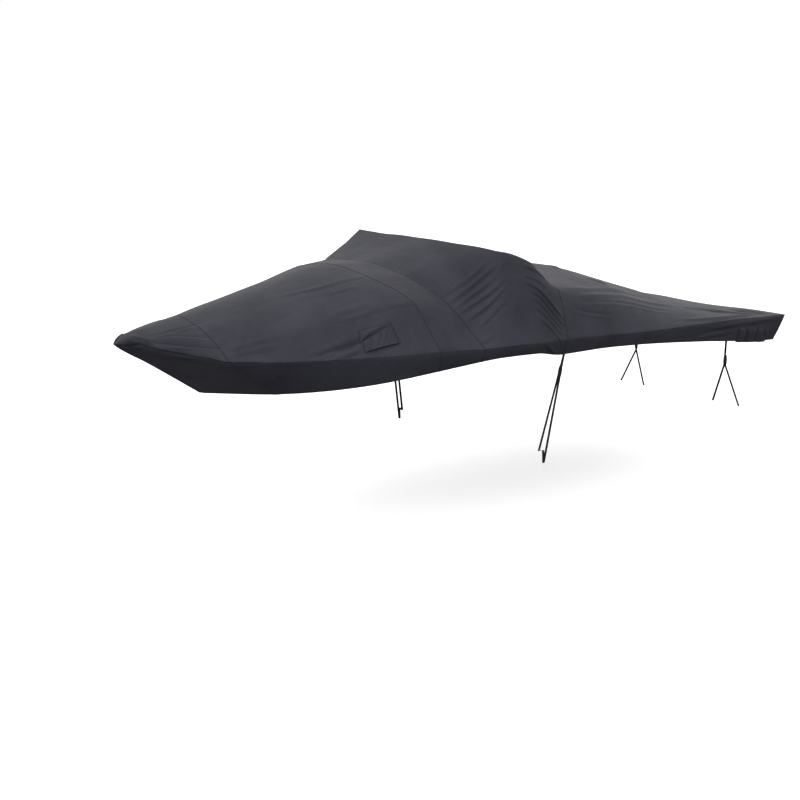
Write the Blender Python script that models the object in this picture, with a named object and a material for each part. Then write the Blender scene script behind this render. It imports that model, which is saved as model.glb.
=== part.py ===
"""A fitted boat cover, drawn tight over a rail and a raised peak and tied down by webbing.

Lengths are metres. Sections are measured aft from the tip of the bow and up from the ground, and
place() moves them to the cover's origin: under its top, at the middle of the peak's upper edge.
The stern is at +X, port is at -Y and starboard is at +Y.
"""
from collections import namedtuple

import bmesh
import bpy
import numpy as np
from mathutils import Matrix, Vector
from mathutils.bvhtree import BVHTree

CLOTH = 0.002
SEAM_GAP = 0.0003
LAY_GAP = 0.0008
MOULD_GAP = 0.0004
PATCH_CLOTH = 0.0015

PEAK_X = 2.745
PEAK_Z = 2.293

# How much of the way from shoulder to crown the cloth has climbed halfway in.
QUARTER_CLIMB = 0.72
SKIRT_BELLY = 0.006
STEM_FOOT = 5.0

# Mesh lines across one half of the top: 0 crown, 1 quarter, 2 shoulder, 3 rail. Then the skirt's rows.
LINES_ACROSS = (0.0, 0.33, 0.67, 1.0, 1.3, 1.6, 1.8, 2.0, 2.07, 2.14, 2.21, 2.29, 2.38, 2.5, 2.66, 2.83, 3.0)
SKIRT_ROWS = 3

# One row for each line that the cloth takes across the cover. rail_*: the fold over the rail.
# inset, rise: the shoulder, in from the fold and up from it. bow: how far the middle runs forward.
# lift: what the starboard shoulder stands higher by. rows: mesh rows up to the next section.
Section = namedtuple(
    "Section", "name rows rail_x half rail_z inset rise bow crown_z hem_x hem_half hem_z lift")
SECTIONS = (
    Section("tip", 2, 0.00, 0.000, 1.669, 0.00, 0.000, 0.00, 1.669, 0.000, 0.000, 1.669, 0.00),
    Section("beak", 2, 0.05, 0.085, 1.682, 0.03, 0.006, 0.00, 1.694, 0.045, 0.000, 1.632, 0.00),
    Section("nose", 2, 0.13, 0.165, 1.700, 0.06, 0.020, 0.00, 1.730, 0.130, 0.000, 1.578, 0.00),
    Section("prow", 3, 0.21, 0.260, 1.660, 0.08, 0.050, 0.01, 1.754, 0.230, 0.000, 1.520, 0.00),
    Section("chin", 2, 0.40, 0.440, 1.614, 0.15, 0.102, 0.04, 1.786, 0.460, 0.000, 1.371, 0.00),
    Section("foot", 3, 0.52, 0.530, 1.585, 0.18, 0.128, 0.06, 1.808, 0.683, 0.000, 1.223, 0.00),
    Section("seam_1", 5, 0.626, 0.610, 1.559, 0.205, 0.148, 0.07, 1.824, 1.045, 0.543, 1.259, 0.00),
    Section("fore", 6, 1.05, 0.853, 1.554, 0.25, 0.200, 0.12, 1.904, 1.300, 0.745, 1.281, 0.00),
    Section("mid", 6, 1.58, 1.040, 1.553, 0.31, 0.278, 0.16, 2.026, 1.680, 0.950, 1.325, 0.00),
    Section("seam_2", 4, 2.12, 1.150, 1.551, 0.29, 0.376, 0.20, 2.118, 2.160, 1.080, 1.388, 0.05),
    Section("seam_3", 4, 2.517, 1.202, 1.537, 0.39, 0.369, 0.28, 2.125, 2.530, 1.130, 1.427, 0.15),
    Section("face", 3, 2.70, 1.222, 1.536, 0.35, 0.535, 0.20, 2.205, 2.710, 1.150, 1.439, 0.10),
    Section("peak", 3, 2.88, 1.235, 1.535, 0.315, 0.715, 0.135, 2.294, 2.880, 1.160, 1.440, 0.045),
    Section("wing", 4, 3.08, 1.245, 1.534, 0.215, 0.622, 0.04, 2.170, 3.080, 1.168, 1.436, 0.00),
    Section("seam_4", 4, 3.33, 1.256, 1.538, 0.156, 0.397, 0.00, 2.060, 3.335, 1.177, 1.403, 0.00),
    Section("cockpit", 4, 3.75, 1.264, 1.530, 0.17, 0.310, 0.00, 2.020, 3.750, 1.184, 1.408, 0.00),
    Section("bench", 4, 4.15, 1.265, 1.517, 0.20, 0.250, 0.00, 1.980, 4.150, 1.185, 1.396, 0.00),
    Section("slope", 4, 4.60, 1.259, 1.513, 0.24, 0.142, 0.00, 1.860, 4.600, 1.178, 1.368, 0.00),
    Section("step_top", 2, 4.97, 1.250, 1.512, 0.20, 0.070, 0.00, 1.750, 4.970, 1.170, 1.338, 0.00),
    Section("step_foot", 4, 5.10, 1.247, 1.511, 0.22, 0.060, 0.00, 1.695, 5.100, 1.166, 1.327, 0.00),
    Section("deck", 3, 5.60, 1.226, 1.498, 0.30, 0.030, 0.00, 1.595, 5.580, 1.148, 1.278, 0.00),
    Section("tail", 3, 5.95, 1.208, 1.486, 0.35, 0.010, 0.00, 1.515, 5.900, 1.132, 1.247, 0.00),
    Section("stern", 0, 6.19, 1.188, 1.474, 0.38, 0.004, 0.00, 1.466, 6.120, 1.120, 1.235, 0.00),
)
NAMES = [section.name for section in SECTIONS]

# The cloth turns sharply at these sections; elsewhere it flows from one to the next.
BREAKS = ("tip", "seam_3", "peak", "stern")
HEM_BREAKS = ("tip", "foot", "seam_3", "peak", "stern")

# Ridges pulled up in the cloth, each from one place to another: x aft of the bow, and girth, the
# length of cloth from the crown to the place (negative to port). width: from its top to its foot.
Fold = namedtuple("Fold", "name x girth to_x to_girth width height")
FOLDS = (
    Fold("nose_high", 0.20, -0.21, 0.62, -0.23, 0.035, 0.009),
    Fold("nose_middle", 0.20, -0.22, 0.62, -0.36, 0.035, 0.010),
    Fold("nose_low", 0.20, -0.23, 0.62, -0.51, 0.035, 0.010),
    Fold("nose_far", 0.20, 0.22, 0.66, 0.40, 0.040, 0.010),
    Fold("seam_pull", 0.64, -0.56, 0.93, -0.76, 0.040, 0.008),
    Fold("crown_pull", 1.10, -0.31, 1.98, -0.50, 0.060, 0.013),
    Fold("shoulder_pull", 1.42, -0.77, 2.08, -0.97, 0.050, 0.011),
    Fold("shoulder_pull_far", 1.30, 0.62, 2.10, 0.93, 0.060, 0.013),
    Fold("flap_pull", 1.12, -0.94, 1.50, -1.05, 0.040, 0.012),
    Fold("face_first", 2.36, -0.85, 2.74, -0.98, 0.040, 0.016),
    Fold("face_second", 2.40, -0.94, 2.76, -1.07, 0.040, 0.016),
    Fold("face_third", 2.45, -1.04, 2.78, -1.17, 0.040, 0.015),
    Fold("face_far", 2.38, 0.86, 2.76, 1.00, 0.050, 0.016),
    Fold("wing_high", 3.00, -1.26, 3.28, -1.34, 0.050, 0.010),
    Fold("wing_low", 3.04, -1.48, 3.29, -1.57, 0.050, 0.010),
    Fold("wing_far", 3.02, 1.34, 3.28, 1.44, 0.050, 0.010),
    Fold("quarter_pull", 4.92, -1.37, 5.50, -1.29, 0.040, 0.009),
)

PANELS = (
    ("nose_panel", "tip", "seam_1"),
    ("fore_panel", "seam_1", "seam_2"),
    ("yoke_panel", "seam_2", "seam_3"),
    ("peak_panel", "seam_3", "seam_4"),
    ("aft_panel", "seam_4", "stern"),
)

# Stern apron: a notch in the middle of its hem, and how its columns are spaced.
NOTCH_HALF = 0.30
NOTCH_SHOULDER = 0.10
NOTCH_Z = 1.425
STERN_COLUMNS = (0.0, 0.15, 0.28, 0.32, 0.36, 0.40, 0.46, 0.60, 0.78, 0.95, 1.08, 1.188)
STERN_ROWS = 4

# Corners as (x, half): fore top, aft top, aft bottom, fore bottom; the bottom edge stands open.
FLAP_CORNERS = ((1.545, 0.864), (1.800, 0.925), (1.815, 1.035), (1.520, 0.989))
FLAP_CELLS = (8, 5)
FLAP_STAND = 0.014

# The puckered patch on the skirt near the stern. Corners as (x, share of the skirt's depth): fore
# top, aft top, aft bottom, fore bottom.
PATCH_CORNERS = ((5.50, 0.38), (5.97, 0.48), (5.99, 0.94), (5.53, 0.86))
PATCH_CELLS = (20, 4)
PATCH_PUCKERS = 5
PATCH_PUCKER = 0.007

# Far enough out to look at the cover from outside it.
OUTSIDE = 2.0

WEB_WIDTH = 0.025
WEB_THICK = 0.0016
SHARPEST_BEND = 0.6
WEB_SEWN = (0.035, 0.006)
WEB_BELOW_HEM = 0.014

# Side-release buckle: half widths, lengths from the joint line, and half thickness.
BUCKLE_HALF = 0.018
BUCKLE_NECK = 0.0132
BUCKLE_THICK = 0.011
SOCKET_LENGTH = 0.036
PLUG_LENGTH = 0.026
PRONG_LENGTH = 0.020
BUCKLE_CHAMFER = 0.003
SLOT_BAR = 0.003
SLOT_HEIGHT = 0.004
SLOT_PLAY = 0.0008
WEB_CLEAR = 0.0006
WEB_TURN = 0.0012
WEB_LEAD = 0.004
ANCHOR_TAIL = 0.020
RUN_TAIL = 0.045

# Midship tie-down on the port side, from the hem to the two turns low down.
TIE_HEM_X = 3.358
TIE_BUCKLE = (3.330, -1.158, 1.262)
TIE_INNER_TURN = (3.313, -0.950, 0.556)
TIE_OUTER_TURN = (3.315, -1.000, 0.572)
TIE_LOW_TURN = (3.320, -1.003, 0.466)
TIE_FOLD = 0.005

# Stern tie-down on the port side: one tab, a buckle, and a run that spreads to two low corners.
STERN_TIE_Y = -0.584
STERN_TIE_X = 6.112
STERN_BUCKLE_Z = 0.960
STERN_TIE_LOW = ((-0.457, 0.530), (-0.780, 0.530))

COLOURS = {
    "cloth": (0.036, 0.036, 0.045),
    "patch": (0.030, 0.030, 0.038),
    "webbing": (0.012, 0.012, 0.013),
    "acetal": (0.018, 0.018, 0.020),
}


def place(points):
    """Move points from the bow and the ground to the cover's origin."""
    return np.asarray(points, float) - np.array([PEAK_X, 0.0, PEAK_Z])


def slopes(knots, values):
    """Slopes of a curve through the knots that never swings past its points."""
    step = np.diff(knots)[:, None]
    chord = np.diff(values, axis=0) / step
    if len(knots) == 2:
        return np.vstack([chord, chord])
    left = chord[:-1]
    right = chord[1:]
    weight_left = 2 * step[1:] + step[:-1]
    weight_right = step[1:] + 2 * step[:-1]
    same_way = left * right > 0
    safe_left = np.where(same_way, left, 1.0)
    safe_right = np.where(same_way, right, 1.0)
    mean = (weight_left + weight_right) / (weight_left / safe_left + weight_right / safe_right)
    inner = np.where(same_way, mean, 0.0)
    return np.vstack([chord[:1], inner, chord[-1:]])


def smooth(knots, values, at):
    """Cubic curve through the values at the knots, read at each place in `at`."""
    knots = np.asarray(knots, float)
    values = np.asarray(values, float)
    at = np.asarray(at, float)
    tilt = slopes(knots, values)
    span = np.clip(np.searchsorted(knots, at, side="right") - 1, 0, len(knots) - 2)
    width = (knots[span + 1] - knots[span])[:, None]
    t = (at - knots[span])[:, None] / width
    start = (2 * t ** 3 - 3 * t ** 2 + 1) * values[span]
    end = (3 * t ** 2 - 2 * t ** 3) * values[span + 1]
    leave = (t ** 3 - 2 * t ** 2 + t) * width * tilt[span]
    arrive = (t ** 3 - t ** 2) * width * tilt[span + 1]
    return start + end + leave + arrive


def section_points(section, side):
    """The five points a section's half is drawn through: crown, quarter, shoulder, rail, hem."""
    shoulder_half = section.half - section.inset
    shoulder_z = section.rail_z + section.rise
    if side > 0:
        shoulder_z += section.lift
    quarter_z = shoulder_z + (section.crown_z - shoulder_z) * QUARTER_CLIMB
    half = np.array([0.0, 0.5 * shoulder_half, shoulder_half, section.half])
    height = np.array([section.crown_z, quarter_z, shoulder_z, section.rail_z])
    share = half / max(section.half, 1e-6)
    forward = section.rail_x - section.bow * (1.0 - share ** 2)
    top = np.stack([forward, side * half, height], axis=1)
    hem = np.array([[section.hem_x, side * section.hem_half, section.hem_z]])
    return np.vstack([top, hem])


def along(side, at):
    """The five lines from bow to stern, read at section positions `at`: (rows, 5, 3)."""
    table = np.array([section_points(section, side) for section in SECTIONS])
    found = np.zeros((len(at), 5, 3))
    for lines, names in ((slice(0, 4), BREAKS), (slice(4, 5), HEM_BREAKS)):
        breaks = [NAMES.index(name) for name in names]
        for first, last in zip(breaks[:-1], breaks[1:]):
            inside = (at >= first) & (at <= last)
            knots = np.arange(first, last + 1)
            values = table[first:last + 1, lines].reshape(len(knots), -1)
            found[inside, lines] = smooth(knots, values, at[inside]).reshape(inside.sum(), -1, 3)
    return found


def across(port_lines, starboard_lines):
    """One section from port hem to starboard hem through its nine points."""
    top = np.array(LINES_ACROSS)
    through = np.vstack([port_lines[3::-1], starboard_lines[1:4]])
    whole = smooth(np.arange(-3, 4), through, np.concatenate([-top[:0:-1], top]))
    share = np.linspace(0, 1, SKIRT_ROWS + 1)[1:, None]
    belly = SKIRT_BELLY * 4 * share * (1 - share)
    skirts = []
    for side, lines in ((-1, port_lines), (1, starboard_lines)):
        fall = lines[3] + (lines[4] - lines[3]) * share
        fall[:, 1] += side * belly[:, 0] * min(1.0, abs(lines[3][1]))
        skirts.append(fall)
    return np.vstack([skirts[0][::-1], whole, skirts[1]])


def section_positions():
    """Where the mesh rows lie, counted in sections from the tip."""
    rows = [np.linspace(index, index + 1, section.rows + 1)[:-1]
            for index, section in enumerate(SECTIONS[:-1])]
    return np.concatenate(rows + [np.array([len(SECTIONS) - 1.0])])


def grid_normals(grid):
    """Unit normals of a grid of points, averaged over the cells that meet at each."""
    diagonal = grid[1:, 1:] - grid[:-1, :-1]
    other = grid[:-1, 1:] - grid[1:, :-1]
    cell = np.cross(diagonal, other)
    total = np.zeros_like(grid)
    total[:-1, :-1] += cell
    total[1:, :-1] += cell
    total[:-1, 1:] += cell
    total[1:, 1:] += cell
    return total / np.maximum(np.linalg.norm(total, axis=2, keepdims=True), 1e-12)


def folded(grid, normals, closed_rows):
    """The grid with its folds raised along the normals."""
    lengths = np.linalg.norm(np.diff(grid, axis=1), axis=2)
    girth = np.pad(np.cumsum(lengths, axis=1), ((0, 0), (1, 0)))
    girth -= girth[:, girth.shape[1] // 2][:, None]
    x = grid[..., 0]
    raised = np.zeros_like(x)
    for fold in FOLDS:
        run = np.array([fold.to_x - fold.x, fold.to_girth - fold.girth])
        length = np.linalg.norm(run)
        way = run / length
        ahead = ((x - fold.x) * way[0] + (girth - fold.girth) * way[1]) / length
        aside = (girth - fold.girth) * way[0] - (x - fold.x) * way[1]
        ends = 1 - np.clip(abs(2 * ahead - 1), 0, 1) ** 3
        raised += fold.height * ends * np.exp(-(aside / fold.width) ** 2 * 3)
    raised[:closed_rows, [0, -1]] = 0.0
    return grid + normals * raised[..., None]


def material(name):
    """A plain surface in one of the cover's colours."""
    found = bpy.data.materials.get(name)
    if found:
        return found
    made = bpy.data.materials.new(name)
    made.use_nodes = True
    shader = made.node_tree.nodes["Principled BSDF"]
    shader.inputs["Base Color"].default_value = (*COLOURS[name.split("_")[0]], 1.0)
    shader.inputs["Roughness"].default_value = 0.75
    shader.inputs["Metallic"].default_value = 0.0
    return made


def solid(name, points, faces, colour):
    """One closed object from points and faces, its faces turned outwards."""
    build = bmesh.new()
    vertices = [build.verts.new(point) for point in points]
    for face in faces:
        corners = list(dict.fromkeys(face))
        if len(corners) > 2:
            build.faces.new([vertices[corner] for corner in corners])
    loose = [vertex for vertex in build.verts if not vertex.link_faces]
    bmesh.ops.delete(build, geom=loose, context="VERTS")
    bmesh.ops.triangulate(build, faces=build.faces)
    bmesh.ops.recalc_face_normals(build, faces=build.faces)
    if build.calc_volume(signed=True) < 0:
        bmesh.ops.reverse_faces(build, faces=build.faces)
    mesh = bpy.data.meshes.new(name)
    build.to_mesh(mesh)
    build.free()
    made = bpy.data.objects.new(name, mesh)
    bpy.context.collection.objects.link(made)
    mesh.materials.append(material(colour + "_" + name))
    return made


def sheet(name, grid, normals, thickness, colour, closed_rows=0, pointed=False):
    """A sheet of even thickness over a grid of points.

    closed_rows: rows from the first whose two ends are one point; pointed: the first row is a tip.
    """
    rows, columns = grid.shape[:2]
    number = np.arange(rows * columns).reshape(rows, columns)
    number[:closed_rows, -1] = number[:closed_rows, 0]
    if pointed:
        number[0, :] = number[0, 0]
    middle = grid.copy()
    turned = normals.copy()
    for row in range(closed_rows):
        joint = turned[row, 0] + turned[row, -1]
        turned[row, 0] = joint / np.linalg.norm(joint)
    if pointed:
        turned[0, 0] = (-1.0, 0.0, 0.0)
    outer = middle + turned * thickness / 2
    inner = middle - turned * thickness / 2
    points = np.vstack([outer.reshape(-1, 3), inner.reshape(-1, 3)])
    under = rows * columns
    faces = []
    for row in range(rows - 1):
        for column in range(columns - 1):
            a, b = number[row, column], number[row, column + 1]
            c, d = number[row + 1, column + 1], number[row + 1, column]
            faces.append((a, b, c, d))
            faces.append((d + under, c + under, b + under, a + under))
        if row + 1 >= closed_rows:
            a, d = number[row, 0], number[row + 1, 0]
            faces.append((d, d + under, a + under, a))
            b, c = number[row, -1], number[row + 1, -1]
            faces.append((b, b + under, c + under, c))
    for column in range(columns - 1):
        c, d = number[-1, column + 1], number[-1, column]
        faces.append((d, c, c + under, d + under))
        if not pointed:
            a, b = number[0, column], number[0, column + 1]
            faces.append((b, a, a + under, b + under))
    return solid(name, points, faces, colour)


def drawn_apart(grid, first_gap, last_gap):
    """The grid with its first and last rows drawn back by half of a seam's gap."""
    moved = grid.copy()
    for row, neighbour, wanted in ((0, 1, first_gap), (-1, -2, last_gap)):
        if wanted:
            way = grid[neighbour] - grid[row]
            length = np.linalg.norm(way, axis=1, keepdims=True)
            moved[row] = grid[row] + way / length * SEAM_GAP
    return moved


def make_panels():
    """The five panels of the cover, cut from one surface along its cross seams."""
    positions = section_positions()
    port = along(-1, positions)
    starboard = along(1, positions)
    grid = np.array([across(a, b) for a, b in zip(port, starboard)])
    stem_rows = int(np.argmin(abs(positions - STEM_FOOT))) + 1
    grid = place(folded(grid, grid_normals(grid), stem_rows))
    normals = grid_normals(grid)
    made = {}
    for name, first, last in PANELS:
        start = int(np.argmin(abs(positions - NAMES.index(first))))
        stop = int(np.argmin(abs(positions - NAMES.index(last)))) + 1
        nose = first == "tip"
        closed = stem_rows if nose else 0
        rows = drawn_apart(grid[start:stop], not nose, True)
        made[name] = sheet(name, rows, normals[start:stop], CLOTH, "cloth", closed, nose)
    return made


def make_stern(aft_section):
    """The apron that closes the stern, hung from the last section, with a notch in its hem."""
    half = aft_section.half
    columns = np.array(STERN_COLUMNS)
    columns = np.concatenate([-columns[:0:-1], columns])
    shoulder_half = half - aft_section.inset
    knots = np.array([0.0, 0.5 * shoulder_half, shoulder_half, half])
    shoulder_z = aft_section.rail_z + aft_section.rise
    quarter_z = shoulder_z + (aft_section.crown_z - shoulder_z) * QUARTER_CLIMB
    heights = np.array([[aft_section.crown_z], [quarter_z], [shoulder_z], [aft_section.rail_z]])
    top_z = smooth(knots, heights, abs(columns))[:, 0] + CLOTH / 2
    into_notch = np.clip((NOTCH_HALF + NOTCH_SHOULDER - abs(columns)) / NOTCH_SHOULDER, 0, 1)
    eased = into_notch ** 2 * (3 - 2 * into_notch)
    hem_z = aft_section.hem_z + (NOTCH_Z - aft_section.hem_z) * eased
    narrowing = (half - aft_section.hem_half) / (aft_section.rail_z - aft_section.hem_z)
    raking = (aft_section.rail_x - aft_section.hem_x) / (aft_section.rail_z - aft_section.hem_z)
    down = np.linspace(0, 1, STERN_ROWS + 1)[:, None]
    z = top_z + (hem_z - top_z) * down
    fall = np.clip(top_z - CLOTH / 2 - z, 0, None)
    y = columns * (half + CLOTH / 2 - narrowing * fall) / half
    x = aft_section.rail_x - raking * fall + CLOTH / 2 + LAY_GAP
    grid = place(np.stack([x, y, z], axis=2))
    normals = np.zeros_like(grid)
    normals[..., 0] = 1.0
    return sheet("stern_panel", grid, normals, CLOTH, "cloth")


def surface_tree(objects):
    """A search tree over the faces of several objects, all in world space."""
    points = []
    faces = []
    for item in objects:
        start = len(points)
        points += [vertex.co.copy() for vertex in item.data.vertices]
        faces += [tuple(start + corner for corner in face.vertices) for face in item.data.polygons]
    return BVHTree.FromPolygons(points, faces)


def cast(tree, origin, direction):
    """The first point that a ray meets, and the surface's normal there, facing the ray."""
    point, normal, _, _ = tree.ray_cast(Vector(origin), Vector(direction))
    if normal.dot(Vector(direction)) > 0:
        normal = -normal
    return np.array(point), np.array(normal)


def make_flap(tree, side, name):
    """The vent flap, sewn on three sides, its bottom edge standing a little open."""
    fore_top, aft_top, aft_low, fore_low = [np.array(corner) for corner in FLAP_CORNERS]
    cells_along, cells_down = FLAP_CELLS
    grid = np.zeros((cells_along + 1, cells_down + 1, 3))
    normals = np.zeros_like(grid)
    for i, s in enumerate(np.linspace(0, 1, cells_along + 1)):
        for j, t in enumerate(np.linspace(0, 1, cells_down + 1)):
            top = fore_top * (1 - s) + aft_top * s
            low = fore_low * (1 - s) + aft_low * s
            x, half = top * (1 - t) + low * t
            above = place([x, side * half, PEAK_Z + OUTSIDE])
            point, normal = cast(tree, above, (0, 0, -1))
            stand = FLAP_STAND * np.sin(np.pi * s) * t ** 2
            grid[i, j] = point + normal * (PATCH_CLOTH / 2 + LAY_GAP + stand)
            normals[i, j] = normal
    return sheet(name, grid, normals, PATCH_CLOTH, "patch")


def make_patch(tree, side, name):
    """The patch on the aft skirt, gathered into upright puckers."""
    fore_top, aft_top, aft_low, fore_low = [np.array(corner) for corner in PATCH_CORNERS]
    cells_along, cells_down = PATCH_CELLS
    grid = np.zeros((cells_along + 1, cells_down + 1, 3))
    normals = np.zeros_like(grid)
    deck = SECTIONS[NAMES.index("deck")]
    tail = SECTIONS[NAMES.index("tail")]
    for i, s in enumerate(np.linspace(0, 1, cells_along + 1)):
        for j, t in enumerate(np.linspace(0, 1, cells_down + 1)):
            top = fore_top * (1 - s) + aft_top * s
            low = fore_low * (1 - s) + aft_low * s
            x, depth = top * (1 - t) + low * t
            aft = (x - deck.rail_x) / (tail.rail_x - deck.rail_x)
            rail_z = deck.rail_z + (tail.rail_z - deck.rail_z) * aft
            hem_z = deck.hem_z + (tail.hem_z - deck.hem_z) * aft
            outside = place([x, side * OUTSIDE, rail_z + (hem_z - rail_z) * depth])
            point, normal = cast(tree, outside, (0, -side, 0))
            pucker = PATCH_PUCKER * np.sin(np.pi * PATCH_PUCKERS * s) ** 2 * np.sin(np.pi * t)
            grid[i, j] = point + normal * (PATCH_CLOTH / 2 + LAY_GAP + pucker)
            normals[i, j] = normal
    return sheet(name, grid, normals, PATCH_CLOTH, "patch")


def ribbon(name, path, width_way):
    """Flat webbing along a path, its width held to one direction."""
    path = np.asarray(path, float)
    legs = np.diff(path, axis=0)
    legs /= np.linalg.norm(legs, axis=1, keepdims=True)
    tangent = np.vstack([legs[:1], legs[:-1] + legs[1:], legs[-1:]])
    tangent /= np.linalg.norm(tangent, axis=1, keepdims=True)
    width = np.tile(np.asarray(width_way, float), (len(path), 1))
    face = np.cross(width, tangent)
    face /= np.linalg.norm(face, axis=1, keepdims=True)
    bend = np.einsum("ij,ij->i", tangent, np.vstack([legs, legs[-1:]]))
    face /= np.maximum(bend, SHARPEST_BEND)[:, None]
    wide = width * WEB_WIDTH / 2
    deep = face * WEB_THICK / 2
    rings = np.stack([path + wide + deep, path - wide + deep, path - wide - deep, path + wide - deep], axis=1)
    points = rings.reshape(-1, 3)
    faces = [(0, 1, 2, 3)]
    for step in range(len(path) - 1):
        base = 4 * step
        for corner in range(4):
            after = (corner + 1) % 4
            faces.append((base + corner, base + after, base + 4 + after, base + 4 + corner))
    last = 4 * (len(path) - 1)
    faces.append((last + 3, last + 2, last + 1, last))
    return solid(name, points, faces, "webbing")


def plate(name, outline, frame, thickness):
    """A moulded plate: an outline across and along, given a thickness and softened edges."""
    build = bmesh.new()
    ring = [build.verts.new((x, -thickness / 2, z)) for x, z in outline]
    face = build.faces.new(ring)
    grown = bmesh.ops.extrude_face_region(build, geom=[face])
    raised = [item for item in grown["geom"] if isinstance(item, bmesh.types.BMVert)]
    bmesh.ops.translate(build, verts=raised, vec=(0, thickness, 0))
    bmesh.ops.recalc_face_normals(build, faces=build.faces)
    mesh = bpy.data.meshes.new(name)
    build.to_mesh(mesh)
    build.free()
    made = bpy.data.objects.new(name, mesh)
    bpy.context.collection.objects.link(made)
    made.matrix_world = frame
    mesh.materials.append(material("acetal_" + name))
    return made


def cut_slot(target, frame, along_z, name):
    """A slot through a buckle half for its webbing, with the bar left beyond it."""
    build = bmesh.new()
    bmesh.ops.create_cube(build, size=1.0)
    size = Vector((WEB_WIDTH + 2 * SLOT_PLAY, BUCKLE_THICK * 2, SLOT_HEIGHT))
    bmesh.ops.scale(build, verts=build.verts, vec=size)
    bmesh.ops.translate(build, verts=build.verts, vec=(0, 0, along_z))
    mesh = bpy.data.meshes.new(name)
    build.to_mesh(mesh)
    build.free()
    cutter = bpy.data.objects.new(name, mesh)
    bpy.context.collection.objects.link(cutter)
    cutter.matrix_world = frame
    cutter.hide_render = True
    cutter.display_type = "WIRE"
    modifier = target.modifiers.new("slot", "BOOLEAN")
    modifier.operation = "DIFFERENCE"
    modifier.object = cutter


def buckle_frame(centre, up, width_way):
    """A frame at the buckle's joint line: X across the webbing, Z up along it."""
    z = Vector(up).normalized()
    x = Vector(width_way)
    x = (x - z * x.dot(z)).normalized()
    y = z.cross(x)
    frame = Matrix((x, y, z)).transposed().to_4x4()
    frame.translation = Vector(centre)
    return frame


def make_buckle(name, frame):
    """The closed buckle: a plug whose prongs lie along the neck of its socket."""
    half = BUCKLE_HALF
    neck = BUCKLE_NECK
    tip = neck + MOULD_GAP
    chamfer = BUCKLE_CHAMFER
    prong_end = -PRONG_LENGTH - MOULD_GAP
    socket_outline = (
        (-half + chamfer, -SOCKET_LENGTH), (half - chamfer, -SOCKET_LENGTH),
        (half, -SOCKET_LENGTH + chamfer), (half, prong_end),
        (neck, prong_end), (neck, -MOULD_GAP),
        (-neck, -MOULD_GAP), (-neck, prong_end),
        (-half, prong_end), (-half, -SOCKET_LENGTH + chamfer))
    plug_outline = (
        (-half + chamfer, PLUG_LENGTH), (-half, PLUG_LENGTH - chamfer),
        (-half, -PRONG_LENGTH + chamfer), (-tip, -PRONG_LENGTH),
        (-tip, 0.0), (tip, 0.0), (tip, -PRONG_LENGTH), (half, -PRONG_LENGTH + chamfer),
        (half, PLUG_LENGTH - chamfer), (half - chamfer, PLUG_LENGTH))
    socket = plate(name + "_socket", socket_outline, frame, BUCKLE_THICK)
    plug = plate(name + "_plug", plug_outline, frame, BUCKLE_THICK)
    slot_middle = SLOT_BAR + SLOT_HEIGHT / 2
    cut_slot(socket, frame, -SOCKET_LENGTH + slot_middle, name + "_socket_slot")
    cut_slot(plug, frame, PLUG_LENGTH - slot_middle, name + "_plug_slot")
    return socket, plug


def through_slot(end_z, way, front, tail):
    """Webbing's way in a buckle's frame (y, z): up the front, through the slot, out behind.

    end_z: the end of the buckle half; way: +1 above the joint, -1 below; tail: length behind.
    """
    skin = BUCKLE_THICK / 2 + WEB_THICK / 2 + WEB_CLEAR
    bar = end_z - way * SLOT_BAR
    middle = bar - way * SLOT_HEIGHT / 2
    return (
        (front * skin, end_z + way * WEB_LEAD),
        (front * skin, bar),
        (front * (skin - WEB_TURN), middle),
        (-front * (skin - WEB_TURN), middle),
        (-front * skin, bar),
        (-front * skin, end_z + way * tail))


def in_frame(frame, pairs):
    """World points of (y, z) pairs in a buckle's frame."""
    return [np.array(frame @ Vector((0.0, y, z))) for y, z in pairs]


def sewn_end(tree, origins, direction, layer):
    """Webbing's end: along the inside of the hem from the top down, then just clear below it."""
    depth = LAY_GAP + WEB_THICK / 2 + layer * (WEB_THICK + SEAM_GAP)
    hits = [cast(tree, origin, direction) for origin in origins]
    points = [point + normal * depth for point, normal in hits]
    way = points[1] - points[0]
    points.append(points[1] + way / np.linalg.norm(way) * (WEB_SEWN[1] + WEB_BELOW_HEM))
    return points


def make_midship_tie(tree, side, name):
    """The tie-down amidships: hem, long run, two turns low down, buckle, and a short anchor."""
    mirror = np.array([1.0, -side, 1.0])
    hem = SECTIONS[NAMES.index("seam_4")]
    buckle = place(np.array(TIE_BUCKLE) * mirror)
    low = place(np.array(TIE_LOW_TURN) * mirror)
    inner = place(np.array(TIE_INNER_TURN) * mirror)
    outer = place(np.array(TIE_OUTER_TURN) * mirror)
    frame = buckle_frame(buckle, buckle - low, (1, 0, 0))
    front = 1.0 if frame.to_3x3().col[1].y * side > 0 else -1.0
    make_buckle(name + "_buckle", frame)
    origins = [place([TIE_HEM_X, 0.0, hem.hem_z + height]) for height in WEB_SEWN]
    outboard = np.array([0.0, side * TIE_FOLD / 2, 0.0])
    under = np.array([0.0, 0.0, -TIE_FOLD / 2])
    fold = [low - outboard, low - outboard / 2 + under, low + outboard / 2 + under, low + outboard]
    long_end = in_frame(frame, through_slot(-SOCKET_LENGTH, -1.0, front, RUN_TAIL))
    short_end = in_frame(frame, through_slot(PLUG_LENGTH, 1.0, front, ANCHOR_TAIL))
    anchor = sewn_end(tree, origins, (0, side, 0), 0)
    run = sewn_end(tree, origins, (0, side, 0), 1)
    ribbon(name + "_anchor", anchor + short_end, (1, 0, 0))
    ribbon(name + "_run", run + [inner, outer] + fold + long_end, (1, 0, 0))


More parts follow.
